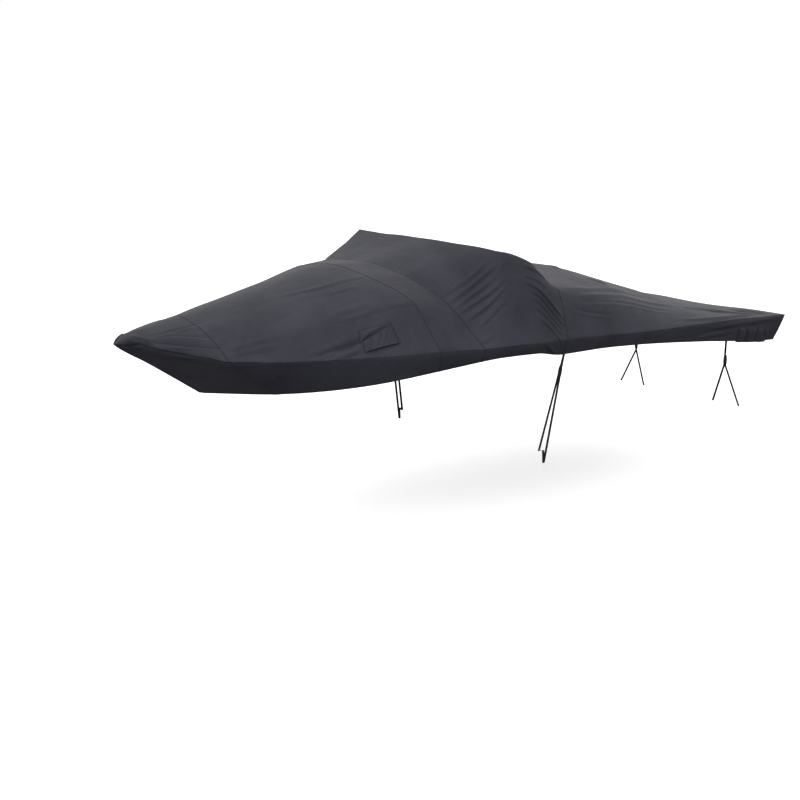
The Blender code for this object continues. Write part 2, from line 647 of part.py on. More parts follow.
def make_stern_tie(stern, side, name):
    """The tie-down behind the stern: a tab inside the apron's hem, a buckle and a spread run."""
    y = -side * STERN_TIE_Y
    frame = buckle_frame(place([STERN_TIE_X, y, STERN_BUCKLE_Z]), (0, 0, 1), (0, 1, 0))
    make_buckle(name + "_buckle", frame)
    front = 1.0
    hem_z = SECTIONS[-1].hem_z
    origins = [place([0.0, y, hem_z + height]) for height in WEB_SEWN]
    tab = sewn_end(stern, origins, (1, 0, 0), 0)
    short_end = in_frame(frame, through_slot(PLUG_LENGTH, 1.0, front, ANCHOR_TAIL))
    ribbon(name + "_anchor", tab + short_end, (0, 1, 0))
    slot = in_frame(frame, through_slot(-SOCKET_LENGTH, -1.0, front, ANCHOR_TAIL))
    (inner_y, low_z), (outer_y, _) = STERN_TIE_LOW
    lean = WEB_THICK + SEAM_GAP
    inner = place([STERN_TIE_X + lean, -side * inner_y, low_z])
    outer = place([STERN_TIE_X - lean, -side * outer_y, low_z])
    ribbon(name + "_run", [inner] + slot + [outer], (0, 1, 0))


def main():
    for item in list(bpy.data.objects):
        bpy.data.objects.remove(item, do_unlink=True)
    panels = make_panels()
    stern = make_stern(SECTIONS[-1])
    cover = surface_tree(list(panels.values()))
    apron = surface_tree([stern])
    for side, word in ((-1, "port"), (1, "starboard")):
        make_flap(cover, side, "vent_flap_" + word)
        make_patch(cover, side, "quarter_patch_" + word)
        make_midship_tie(cover, side, "tie_" + word)
        make_stern_tie(apron, side, "stern_tie_" + word)


main()
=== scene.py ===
# %% [markdown]
# # A fitted boat cover in coated polyester
# The cover is five cloth panels sewn end to end, pulled tight over a rail and a raised peak, with an
# apron at the stern, vent flaps, gathered patches and webbing tie-downs. The solids already hold the
# sizes. This script dresses them: finer cloth with its folds and seams, woven finishes, and light.

from collections import namedtuple

import bpy
import numpy as np
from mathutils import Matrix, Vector


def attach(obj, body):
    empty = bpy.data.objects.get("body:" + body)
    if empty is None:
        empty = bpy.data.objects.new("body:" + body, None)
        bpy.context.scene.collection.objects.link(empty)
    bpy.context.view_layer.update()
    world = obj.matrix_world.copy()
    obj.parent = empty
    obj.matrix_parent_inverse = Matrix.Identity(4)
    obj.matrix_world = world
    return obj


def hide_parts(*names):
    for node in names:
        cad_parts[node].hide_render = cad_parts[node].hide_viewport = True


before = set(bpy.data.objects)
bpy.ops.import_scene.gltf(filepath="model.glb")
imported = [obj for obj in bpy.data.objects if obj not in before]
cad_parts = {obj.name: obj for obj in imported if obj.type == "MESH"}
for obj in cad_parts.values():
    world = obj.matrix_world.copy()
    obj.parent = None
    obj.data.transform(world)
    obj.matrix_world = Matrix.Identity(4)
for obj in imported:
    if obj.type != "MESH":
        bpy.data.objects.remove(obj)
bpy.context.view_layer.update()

# %% [markdown]
# ## Camera
# The photograph looks at the port bow from about eleven metres, a little above the rail. Its lens
# and tilt come from things of known size, so the camera is placed by numbers and not by eye.

# %% Place the camera
CAMERA_PLACE = (-6.433, -8.413, 0.938)
CAMERA_DOWN_DEG = 12.43
CAMERA_TURN_DEG = 36.68
LENS_MM = 56.71
SIGHT_REACH = 400.0

camera = bpy.data.objects.new("camera", bpy.data.cameras.new("camera"))
bpy.context.collection.objects.link(camera)
camera.location = CAMERA_PLACE
camera.rotation_euler = np.radians((90.0 - CAMERA_DOWN_DEG, 0.0, -CAMERA_TURN_DEG))
camera.data.lens = LENS_MM
camera.data.clip_end = SIGHT_REACH
bpy.context.scene.camera = camera
print("camera lens", LENS_MM, "mm")

# %% [markdown]
# ## From numbers to a mesh
# Every cloth here is a grid of points. One helper joins the points into faces and keeps, for each
# point, its place on the flat cloth in metres (the UV map), its distance from the nearest seam and
# from the hem, and how much painted shade a fold's valley gets there. The finishes use these to lay
# thread, stitches and painted shade where they belong.


# %% A grid of points becomes a cloth
def grid_faces(rows, columns):
    """Four-cornered faces over a grid: each joins a point to its next in both directions."""
    number = np.arange(rows * columns).reshape(rows, columns)
    corners = (number[:-1, :-1], number[1:, :-1], number[1:, 1:], number[:-1, 1:])
    return np.stack(corners, axis=-1).reshape(-1, 4)


def mesh_piece(name, points, faces, finish, flat=None, marks=None):
    """One object from points and faces, with flat places as UVs and marks as point attributes."""
    mesh = bpy.data.meshes.new(name)
    mesh.from_pydata(points, [], faces.tolist() if hasattr(faces, "tolist") else faces)
    if flat is not None:
        corner_points = np.zeros(len(mesh.loops), dtype=np.int32)
        mesh.loops.foreach_get("vertex_index", corner_points)
        layer = mesh.uv_layers.new(name="flat")
        layer.data.foreach_set("uv", flat[corner_points].astype(np.float32).ravel())
    for mark, values in (marks or {}).items():
        attribute = mesh.attributes.new(mark, "FLOAT", "POINT")
        attribute.data.foreach_set("value", np.asarray(values, np.float32).ravel())
    mesh.polygons.foreach_set("use_smooth", np.ones(len(mesh.polygons), dtype=bool))
    mesh.materials.append(finish)
    mesh.update()
    piece = bpy.data.objects.new(name, mesh)
    bpy.context.collection.objects.link(piece)
    return piece


def thicken(piece, thickness):
    """Cloth's thickness, laid on its inner side."""
    wall = piece.modifiers.new("thickness", "SOLIDIFY")
    wall.thickness = thickness
    wall.offset = -1.0
    wall.use_even_offset = False


print("a grid of 3 by 4 points joins into", len(grid_faces(3, 4)), "faces")

# %% [markdown]
# ## Colour
# Screens mix colour in a curved scale and light adds in a straight one, so each colour is picked as
# a screen value and turned straight by one function.


# %% Colours
def linear(hex_colour):
    """Screen colour #RRGGBB as linear light: up to 0.04045 divided by 12.92; above it 0.055 is added,
    the sum is divided by 1.055 and raised to the power 2.4."""
    value = np.array([int(hex_colour[start:start + 2], 16) for start in (1, 3, 5)]) / 255.0
    straight = np.where(value <= 0.04045, value / 12.92, ((value + 0.055) / 1.055) ** 2.4)
    return (*straight.tolist(), 1.0)


print("screen grey #808080 is", round(linear("#808080")[0], 3), "of full light")

# %% [markdown]
# ## Finishes
# A finish is a small tree of nodes on a shader. One function starts a finish and sets the shader's own
# values, and one adds any node with its settings and links.


# %% The finish and node helpers
def new_finish(name, values):
    """A new material with values set on its shader: the material, its node tree and the shader."""
    made = bpy.data.materials.new(name)
    made.use_nodes = True
    shader = made.node_tree.nodes["Principled BSDF"]
    for socket, value in values.items():
        shader.inputs[socket].default_value = value
    return made, made.node_tree, shader


def add(tree, kind, settings=None, inputs=None):
    """Add one shader node: settings are its own options, inputs are values, other nodes' outputs, or
    nodes, which give their first output."""
    made = tree.nodes.new("ShaderNode" + kind)
    for name, value in (settings or {}).items():
        setattr(made, name, value)
    for name, value in (inputs or {}).items():
        value = value.outputs[0] if isinstance(value, bpy.types.Node) else value
        if isinstance(value, bpy.types.NodeSocket):
            tree.links.new(value, made.inputs[name])
        else:
            made.inputs[name].default_value = value
    return made


# %% [markdown]
# ## Coated polyester
# The cloth is 600-denier polyester, plain woven and coated. Thick even threads give it a fine grid;
# the coating gives a soft, broad shine that is strongest where the eye grazes it. Dust and pull
# make the tone drift over a forearm's length. The threads are 0.45 mm apart, too fine to show on a
# cover six metres long, so the weave is drawn at 6 mm and the stitches at 7 mm.

# %% Coated polyester
TIMES = {"operation": "MULTIPLY"}
TIMES_PLUS = {"operation": "MULTIPLY_ADD"}
LARGER = {"operation": "MAXIMUM"}
RGBA = {"data_type": "RGBA"}
WEAVE_MM = 6.0
WEAVE_HIGH = 0.0002
STITCH_MM = 7.0
STITCH_SHARE = 0.65
STITCH_HALF_WIDTH = 0.001
STITCH_SUNK = 0.0006
SEAM_ROWS_MM = (4.0, 10.5)
HEM_ROW_MM = 22.0
SEAM_LAP_SHADOW = 0.22
SEAM_LAP_SHADOW_WIDTH = 0.004
VALLEY_PAINTED_SHADE = 0.65
SLUB_SHARE = 0.45
STREAK_SHARE = 0.9


def stitch_row(tree, distance, along, row_mm):
    """1 on a stitch: within 1 mm of the row, and in the first 65% of each stitch's length."""
    away = add(tree, "Math", {"operation": "SUBTRACT"}, {0: distance, 1: row_mm / 1000})
    size = add(tree, "Math", {"operation": "ABSOLUTE"}, {0: away})
    near = add(tree, "Math", {"operation": "LESS_THAN"}, {0: size, 1: STITCH_HALF_WIDTH})
    count = add(tree, "Math", {"operation": "DIVIDE"}, {0: along, 1: STITCH_MM / 1000})
    part = add(tree, "Math", {"operation": "FRACT"}, {0: count})
    on = add(tree, "Math", {"operation": "LESS_THAN"}, {0: part, 1: STITCH_SHARE})
    return add(tree, "Math", TIMES, {0: near, 1: on})


def coated_polyester(name, tone, pale_tone, crinkle):
    """Plain weave under a soft coating; crinkle is the height in mm of its small creases."""
    made, tree, shader = new_finish(name, {
        "Roughness": 0.58, "IOR": 1.48, "Specular IOR Level": 0.1, "Sheen Weight": 0.03,
        "Sheen Roughness": 0.45})
    flat = add(tree, "UVMap", {"uv_map": "flat"})
    split = add(tree, "SeparateXYZ", None, {0: flat})
    place = add(tree, "TexCoord").outputs["Object"]

    # Tone: a slow drift over 0.4 m and a faint slub along the threads.
    drift = add(tree, "TexNoise", None, {"Vector": place, "Scale": 2.5, "Detail": 4.0, "Roughness": 0.6})
    stretch = add(tree, "Mapping", None, {"Vector": flat, "Scale": (60.0, 260.0, 1.0)})
    slub = add(tree, "TexNoise", None, {"Vector": stretch, "Scale": 1.0, "Detail": 3.0})
    cloudy = add(tree, "Math", TIMES_PLUS, {0: slub, 1: SLUB_SHARE, 2: drift})
    ramp = add(tree, "MapRange", None, {"Value": cloudy, "From Min": 0.5, "From Max": 0.95})
    base = add(tree, "Mix", RGBA, {
        "Factor": ramp, "A": linear(tone), "B": linear(pale_tone)}).outputs["Result"]

    # Stitches: darker thread in two rows by each seam and one row by the hem. Painted shade darkens
    # the valley beside a tight fold, which is narrower than the grid can carve.
    seam, hem, valley = (add(tree, "Attribute", {"attribute_name": mark}).outputs["Fac"]
                         for mark in ("seam", "hem", "shade"))
    stitched = stitch_row(tree, hem, split.outputs["X"], HEM_ROW_MM)
    for row_mm in SEAM_ROWS_MM:
        row = stitch_row(tree, seam, split.outputs["Y"], row_mm)
        stitched = add(tree, "Math", LARGER, {0: stitched, 1: row})
    # Painted shadow along each lapped seam and sewn edge: up to 0.22 of the way to the dark tone at the
    # edge, none 4 mm in.
    lap_shadow = add(tree, "MapRange", None, {
        "Value": seam, "From Max": SEAM_LAP_SHADOW_WIDTH, "To Min": SEAM_LAP_SHADOW, "To Max": 0.0})
    dark = add(tree, "Math", LARGER, {0: stitched, 1: lap_shadow})
    # Painted shade: the shade mark darkens each fold's valley towards the dark tone.
    dark = add(tree, "Math", {"operation": "MULTIPLY_ADD", "use_clamp": True}, {
        0: valley, 1: VALLEY_PAINTED_SHADE, 2: dark})
    colour = add(tree, "Mix", RGBA, {"Factor": dark, "A": base, "B": linear("#101013")})
    tree.links.new(colour.outputs["Result"], shader.inputs["Base Color"])

    # Height: threads both ways, small creases, and stitches sunk into the cloth.
    turns = 1000.0 / WEAVE_MM * np.pi
    height = WEAVE_HIGH
    for axis in "XY":
        angle = add(tree, "Math", TIMES, {0: split.outputs[axis], 1: turns})
        wave = add(tree, "Math", {"operation": "SINE"}, {0: angle})
        height = add(tree, "Math", TIMES, {0: wave, 1: height})
    pulled = add(tree, "Mapping", None, {"Vector": flat, "Scale": (2.2, 16.0, 1.0)})
    crease = add(tree, "TexNoise", None, {
        "Vector": place, "Scale": 14.0, "Detail": 5.0, "Roughness": 0.55, "Distortion": 0.6})
    streak = add(tree, "TexNoise", None, {
        "Vector": pulled, "Scale": 1.0, "Detail": 4.0, "Roughness": 0.55, "Distortion": 0.4})
    small = crinkle / 1000
    for part, high in ((crease, small), (streak, STREAK_SHARE * small), (stitched, -STITCH_SUNK)):
        height = add(tree, "Math", TIMES_PLUS, {0: part, 1: high, 2: height})
    bump = add(tree, "Bump", None, {"Height": height, "Strength": 1.0, "Distance": 1.0})
    tree.links.new(bump.outputs[0], shader.inputs["Normal"])
    return made


cover_cloth = coated_polyester("coated_polyester", "#2A2A32", "#373840", 2.8)
patch_cloth = coated_polyester("coated_polyester_single", "#28282F", "#34353D", 3.2)
print("cloth finishes:", cover_cloth.name, patch_cloth.name)

# %% [markdown]
# ## Webbing and moulded buckles
# Tie-down webbing is flat polypropylene tape with ribs across it, 25 mm wide and nearly black. The
# side-release buckles are moulded acetal: satin, with the faint mottle that a spark-eroded mould
# leaves.

# %% Webbing and acetal
RIB_MM = 2.0
RIB_HIGH = 0.0002
RIB_TONE = 0.2
MOTTLE_HIGH = 0.0001


def woven_webbing(name):
    """Flat tape: ribs across it every 2 mm and a slow change of tone."""
    made, tree, shader = new_finish(name, {
        "Roughness": 0.72, "Specular IOR Level": 0.2, "Sheen Weight": 0.05})
    split = add(tree, "SeparateXYZ", None, {0: add(tree, "UVMap", {"uv_map": "flat"})})
    turns = 2000.0 * np.pi / RIB_MM
    angle = add(tree, "Math", TIMES, {0: split.outputs["Y"], 1: turns})
    rib = add(tree, "Math", {"operation": "SINE"}, {0: angle})
    place = add(tree, "TexCoord").outputs["Object"]
    drift = add(tree, "TexNoise", None, {"Vector": place, "Scale": 30.0, "Detail": 3.0})
    tone = add(tree, "Math", TIMES_PLUS, {0: rib, 1: RIB_TONE, 2: drift})
    colour = add(tree, "Mix", RGBA, {"Factor": tone, "A": linear("#0D0D0F"), "B": linear("#19191C")})
    height = add(tree, "Math", TIMES, {0: rib, 1: RIB_HIGH})
    bump = add(tree, "Bump", None, {"Height": height, "Strength": 1.0, "Distance": 1.0})
    tree.links.new(colour.outputs["Result"], shader.inputs["Base Color"])
    tree.links.new(bump.outputs[0], shader.inputs["Normal"])
    return made


def moulded_acetal(name):
    """Satin black plastic with a fine mottle from its mould."""
    made, tree, shader = new_finish(name, {"IOR": 1.48})
    place = add(tree, "TexCoord").outputs["Object"]
    mottle = add(tree, "TexNoise", None, {"Vector": place, "Scale": 900.0, "Detail": 2.0})
    colour = add(tree, "Mix", RGBA, {"Factor": mottle, "A": linear("#141416"), "B": linear("#212224")})
    rough = add(tree, "MapRange", None, {"Value": mottle, "To Min": 0.28, "To Max": 0.42})
    height = add(tree, "Math", TIMES, {0: mottle, 1: MOTTLE_HIGH})
    bump = add(tree, "Bump", None, {"Height": height, "Strength": 1.0, "Distance": 1.0})
    tree.links.new(colour.outputs["Result"], shader.inputs["Base Color"])
    tree.links.new(rough.outputs[0], shader.inputs["Roughness"])
    tree.links.new(bump.outputs[0], shader.inputs["Normal"])
    return made


webbing = woven_webbing("woven_webbing")
acetal = moulded_acetal("moulded_acetal")
print("trim finishes:", webbing.name, acetal.name)

# %% [markdown]
# ## Tie-downs
# Each tie starts as two layers sewn inside the hem. One layer ends at once in the buckle; the other
# runs down, turns twice and comes back up to the buckle. Webbing folds round a corner in about its
# own thickness, so the corners are rounded by 4 mm and the tape keeps its width level.

# %% Routes of the webbing, port side
WEB_WIDTH = 0.025
WEB_THICK = 0.0016
CORNER = 0.004

MIDSHIP_RUN = (
    (0.6131, -1.1981, -0.853), (0.613, -1.1776, -0.882), (0.613, -1.1661, -0.8983),
    (0.568, -0.95, -1.737), (0.57, -1.0, -1.721), (0.575, -1.0005, -1.827),
    (0.575, -1.0018, -1.8295), (0.575, -1.0042, -1.8295), (0.575, -1.0055, -1.827),
    (0.5845, -1.1571, -1.0716), (0.5846, -1.1585, -1.0647), (0.5846, -1.1577, -1.0625),
    (0.5846, -1.1465, -1.0603), (0.5846, -1.1449, -1.0621), (0.584, -1.1357, -1.1092))
MIDSHIP_ANCHOR = (
    (0.6131, -1.1997, -0.8541), (0.613, -1.1792, -0.8831), (0.613, -1.1676, -0.8994),
    (0.5854, -1.1705, -1.0029), (0.5853, -1.1692, -1.0097), (0.5853, -1.1676, -1.0115),
    (0.5853, -1.1564, -1.0093), (0.5853, -1.1556, -1.0071), (0.5856, -1.16, -0.9845))
STERN_RUN = (
    (3.3689, -0.457, -1.763), (3.3601, -0.584, -1.373), (3.3601, -0.584, -1.366),
    (3.3613, -0.584, -1.364), (3.3727, -0.584, -1.364), (3.3739, -0.584, -1.366),
    (3.3739, -0.584, -1.389), (3.3651, -0.78, -1.763))
STERN_ANCHOR = (
    (3.3844, -0.584, -1.0225), (3.3759, -0.584, -1.0515), (3.3702, -0.584, -1.0707),
    (3.3601, -0.584, -1.303), (3.3601, -0.584, -1.31), (3.3613, -0.584, -1.312),
    (3.3727, -0.584, -1.312), (3.3739, -0.584, -1.31), (3.3739, -0.584, -1.287))
ROUTES = (
    ("tie_{}_run", MIDSHIP_RUN, (1.0, 0.0, 0.0)), ("tie_{}_anchor", MIDSHIP_ANCHOR, (1.0, 0.0, 0.0)),
    ("stern_tie_{}_run", STERN_RUN, (0.0, 1.0, 0.0)),
    ("stern_tie_{}_anchor", STERN_ANCHOR, (0.0, 1.0, 0.0)))


# %% Carry a tape's section along a route
BEND_POINTS = 5
LEG_SHARE = 0.45
TAPE_STEP = 0.02


def unit(vectors):
    """Each row divided by its own length."""
    return vectors / np.linalg.norm(vectors, axis=1, keepdims=True)


def reach_along(line):
    """Length along the line from its start to each point."""
    steps = np.linalg.norm(np.diff(line, axis=0), axis=1)
    return np.concatenate([[0.0], np.cumsum(steps)])


def rounded(route):
    """The route with each corner replaced by a short parabola that starts and ends CORNER away, or
    LEG_SHARE of the shorter leg where that is nearer."""
    legs = np.diff(route, axis=0)
    length = np.linalg.norm(legs, axis=1, keepdims=True)
    way = legs / length
    cut = np.minimum(CORNER, LEG_SHARE * np.minimum(length[:-1], length[1:]))
    enter = route[1:-1] - way[:-1] * cut
    leave = route[1:-1] + way[1:] * cut
    share = np.linspace(0, 1, BEND_POINTS)[:, None, None]
    bend = (1 - share) ** 2 * enter + 2 * share * (1 - share) * route[1:-1] + share ** 2 * leave
    bend = bend.transpose(1, 0, 2).reshape(-1, 3)
    return np.vstack([route[:1], bend, route[-1:]])


def filled(line, step):
    """The line with points added so that none are further apart than step."""
    reach = reach_along(line)
    extra = np.arange(step, reach[-1], step)
    at = np.unique(np.round(np.concatenate([reach, extra]), 6))
    return np.stack([np.interp(at, reach, line[:, axis]) for axis in range(3)], axis=1)


def tape(name, route, width_way):
    """A flat tape: an eight-cornered section with its width held level, carried along the route."""
    line = filled(rounded(np.asarray(route)), TAPE_STEP)
    legs = unit(np.diff(line, axis=0))
    ahead = unit(np.vstack([legs[:1], legs[:-1] + legs[1:], legs[-1:]]))
    wide = np.tile(width_way, (len(line), 1))
    face = unit(np.cross(wide, ahead))
    half, thick, soft = WEB_WIDTH / 2, WEB_THICK / 2, WEB_THICK / 4
    section = np.array([
        (half, -soft), (half, soft), (half - soft, thick), (-half + soft, thick),
        (-half, soft), (-half, -soft), (-half + soft, -thick), (half - soft, -thick)])
    points = (line[:, None] + wide[:, None] * section[None, :, :1] + face[:, None] * section[None, :, 1:])
    count = len(section)
    corner = np.arange(count)
    start = count * np.arange(len(line))[:, None]
    here, beside = start[:-1] + corner, start[:-1] + np.roll(corner, -1)
    sides = np.stack([here, beside, beside + count, here + count], axis=-1)
    faces = sides.reshape(-1, 4).tolist() + [corner[::-1].tolist(), (start[-1] + corner).tolist()]
    reach = reach_along(line)
    flat = np.stack(np.broadcast_arrays(section[None, :, 0], reach[:, None]), axis=-1).reshape(-1, 2)
    piece = mesh_piece(name, points.reshape(-1, 3), faces, webbing, flat)
    return piece, line, reach[-1]


print("stern anchor's route:", len(STERN_ANCHOR), "points,", len(rounded(np.array(STERN_ANCHOR))), "rounded")


# %% Make the eight tapes and give the buckles their finish
def turn_outwards(piece):
    """Faces turned outwards, which the mirrored side needs."""
    bpy.context.view_layer.objects.active = piece
    piece.select_set(True)
    bpy.ops.object.mode_set(mode="EDIT")
    bpy.ops.mesh.select_all(action="SELECT")
    bpy.ops.mesh.normals_make_consistent(inside=False)
    bpy.ops.object.mode_set(mode="OBJECT")
    piece.select_set(False)


for side, mirror in (("port", 1.0), ("starboard", -1.0)):
    for pattern, route, width_way in ROUTES:
        node = pattern.format(side)
        mirrored = np.asarray(route) * (1.0, mirror, 1.0)
        piece, line, length = tape(node + "_webbing", mirrored, width_way)
        turn_outwards(piece)
        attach(piece, "root")
        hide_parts(node)
        print(piece.name, "is", round(float(length), 3), "m long")
for name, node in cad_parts.items():
    if "buckle" in name:
        node.data.materials.clear()
        node.data.materials.append(acetal)

# %% [markdown]
# ## The lie of the cloth
# The cover is stretched, so its shape is a set of lines across it: crown, shoulder, rail and
# hem at each frame, with a smooth curve through them. The rows below are those lines in metres, aft
# of the bow's tip and up from the ground. A curve that never swings past its points keeps the cloth
# taut, where a free one would bulge between the rows. `inset` and `rise` place the shoulder from
# the rail, `bow` draws the middle forward and `lift` raises the far shoulder.

# %% The lines that shape the cover
PEAK_X = 2.745
PEAK_Z = 2.293
QUARTER_CLIMB = 0.72
SKIRT_BELLY = 0.006
TINY = 1e-12

Section = namedtuple("Section", "name rail_x half rail_z inset rise bow crown_z hem_x hem_half hem_z lift")
SECTIONS = tuple(Section(*row) for row in (
    ("tip", 0.0, 0.0, 1.669, 0.0, 0.0, 0.0, 1.669, 0.0, 0.0, 1.669, 0.0),
    ("beak", 0.05, 0.085, 1.682, 0.03, 0.006, 0.0, 1.694, 0.045, 0.0, 1.632, 0.0),
    ("nose", 0.13, 0.165, 1.7, 0.06, 0.02, 0.0, 1.73, 0.13, 0.0, 1.578, 0.0),
    ("prow", 0.21, 0.26, 1.66, 0.08, 0.05, 0.01, 1.754, 0.23, 0.0, 1.52, 0.0),
    ("chin", 0.4, 0.44, 1.614, 0.15, 0.102, 0.04, 1.786, 0.46, 0.0, 1.371, 0.0),
    ("foot", 0.52, 0.53, 1.585, 0.18, 0.128, 0.06, 1.808, 0.683, 0.0, 1.223, 0.0),
    ("seam_1", 0.626, 0.61, 1.559, 0.205, 0.148, 0.07, 1.824, 1.045, 0.543, 1.259, 0.0),
    ("fore", 1.05, 0.853, 1.554, 0.25, 0.2, 0.12, 1.904, 1.3, 0.745, 1.281, 0.0),
    ("mid", 1.58, 1.04, 1.553, 0.31, 0.278, 0.16, 2.026, 1.68, 0.95, 1.325, 0.0),
    ("seam_2", 2.12, 1.15, 1.551, 0.29, 0.376, 0.2, 2.118, 2.16, 1.08, 1.388, 0.05),
    ("seam_3", 2.517, 1.202, 1.537, 0.39, 0.369, 0.28, 2.125, 2.53, 1.13, 1.427, 0.15),
    ("face", 2.7, 1.222, 1.536, 0.35, 0.535, 0.2, 2.205, 2.71, 1.15, 1.439, 0.1),
    ("peak", 2.88, 1.235, 1.535, 0.315, 0.715, 0.135, 2.294, 2.88, 1.16, 1.44, 0.045),
    ("wing", 3.08, 1.245, 1.534, 0.215, 0.622, 0.04, 2.17, 3.08, 1.168, 1.436, 0.0),
    ("seam_4", 3.33, 1.256, 1.538, 0.156, 0.397, 0.0, 2.06, 3.335, 1.177, 1.403, 0.0),
    ("cockpit", 3.75, 1.264, 1.53, 0.17, 0.31, 0.0, 2.02, 3.75, 1.184, 1.408, 0.0),
    ("bench", 4.15, 1.265, 1.517, 0.2, 0.25, 0.0, 1.98, 4.15, 1.185, 1.396, 0.0),
    ("slope", 4.6, 1.259, 1.513, 0.24, 0.142, 0.0, 1.86, 4.6, 1.178, 1.368, 0.0),
    ("step_top", 4.97, 1.25, 1.512, 0.2, 0.07, 0.0, 1.75, 4.97, 1.17, 1.338, 0.0),
    ("step_foot", 5.1, 1.247, 1.511, 0.22, 0.06, 0.0, 1.695, 5.1, 1.166, 1.327, 0.0),
    ("deck", 5.6, 1.226, 1.498, 0.3, 0.03, 0.0, 1.595, 5.58, 1.148, 1.278, 0.0),
    ("tail", 5.95, 1.208, 1.486, 0.35, 0.01, 0.0, 1.515, 5.9, 1.132, 1.247, 0.0),
    ("stern", 6.19, 1.188, 1.474, 0.38, 0.004, 0.0, 1.466, 6.12, 1.12, 1.235, 0.0),
))
NAMES = [section.name for section in SECTIONS]
BREAKS = ("tip", "seam_3", "peak", "stern")
HEM_BREAKS = ("tip", "foot", "seam_3", "peak", "stern")
print(len(SECTIONS), "lines across the cover")


# %% A curve through the lines
def place(points):
    """Points measured from the bow and the ground, moved to the cover's origin."""
    return np.asarray(points, float) - np.array([PEAK_X, 0.0, PEAK_Z])


def slopes(knots, values):
    """At each knot the weighted harmonic mean of the chords beside it, or 0 where they disagree."""
    step = np.diff(knots)[:, None]
    chord = np.diff(values, axis=0) / step
    if len(knots) == 2:
        return np.vstack([chord, chord])
    left, right = chord[:-1], chord[1:]
    weight_left = 2 * step[1:] + step[:-1]
    weight_right = step[1:] + 2 * step[:-1]
    same_way = left * right > 0
    left = np.where(same_way, left, 1.0)
    right = np.where(same_way, right, 1.0)
    mean = (weight_left + weight_right) / (weight_left / left + weight_right / right)
    return np.vstack([chord[:1], np.where(same_way, mean, 0.0), chord[-1:]])


def smooth(knots, values, at):
    """The cubic between each pair of knots that has their values and slopes, read at `at`."""
    knots = np.asarray(knots, float)
    tilt = slopes(knots, values)
    span = np.clip(np.searchsorted(knots, at, side="right") - 1, 0, len(knots) - 2)
    width = (knots[span + 1] - knots[span])[:, None]
    t = (at - knots[span])[:, None] / width
    start = (2 * t ** 3 - 3 * t ** 2 + 1) * values[span]
    end = (3 * t ** 2 - 2 * t ** 3) * values[span + 1]
    leave = (t ** 3 - 2 * t ** 2 + t) * width * tilt[span]
    arrive = (t ** 3 - t ** 2) * width * tilt[span + 1]
    return start + end + leave + arrive


def section_points(section, side):
    """Crown, quarter, shoulder, rail and hem of one section's half."""
    shoulder_half = section.half - section.inset
    shoulder_z = section.rail_z + section.rise + (section.lift if side > 0 else 0.0)
    quarter_z = shoulder_z + (section.crown_z - shoulder_z) * QUARTER_CLIMB
    half = np.array([0.0, 0.5 * shoulder_half, shoulder_half, section.half])
    height = np.array([section.crown_z, quarter_z, shoulder_z, section.rail_z])
    forward = section.rail_x - section.bow * (1.0 - (half / max(section.half, TINY)) ** 2)
    top = np.stack([forward, side * half, height], axis=1)
    return np.vstack([top, [[section.hem_x, side * section.hem_half, section.hem_z]]])


def along(side, at):
    """The five lines from bow to stern, read at section positions `at`: (rows, 5, 3)."""
    table = np.array([section_points(section, side) for section in SECTIONS])
    found = np.zeros((len(at), 5, 3))
    for lines, names in ((slice(0, 4), BREAKS), (slice(4, 5), HEM_BREAKS)):
        breaks = [NAMES.index(name) for name in names]
        for first, last in zip(breaks[:-1], breaks[1:]):
            inside = (at >= first) & (at <= last)
            values = table[first:last + 1, lines].reshape(last + 1 - first, -1)
            read = smooth(np.arange(first, last + 1), values, at[inside])
            found[inside, lines] = read.reshape(inside.sum(), lines.stop - lines.start, 3)
    return found


print("port shoulder at the peak:", along(-1, np.array([NAMES.index("peak")]))[0, 2].round(3), "m")
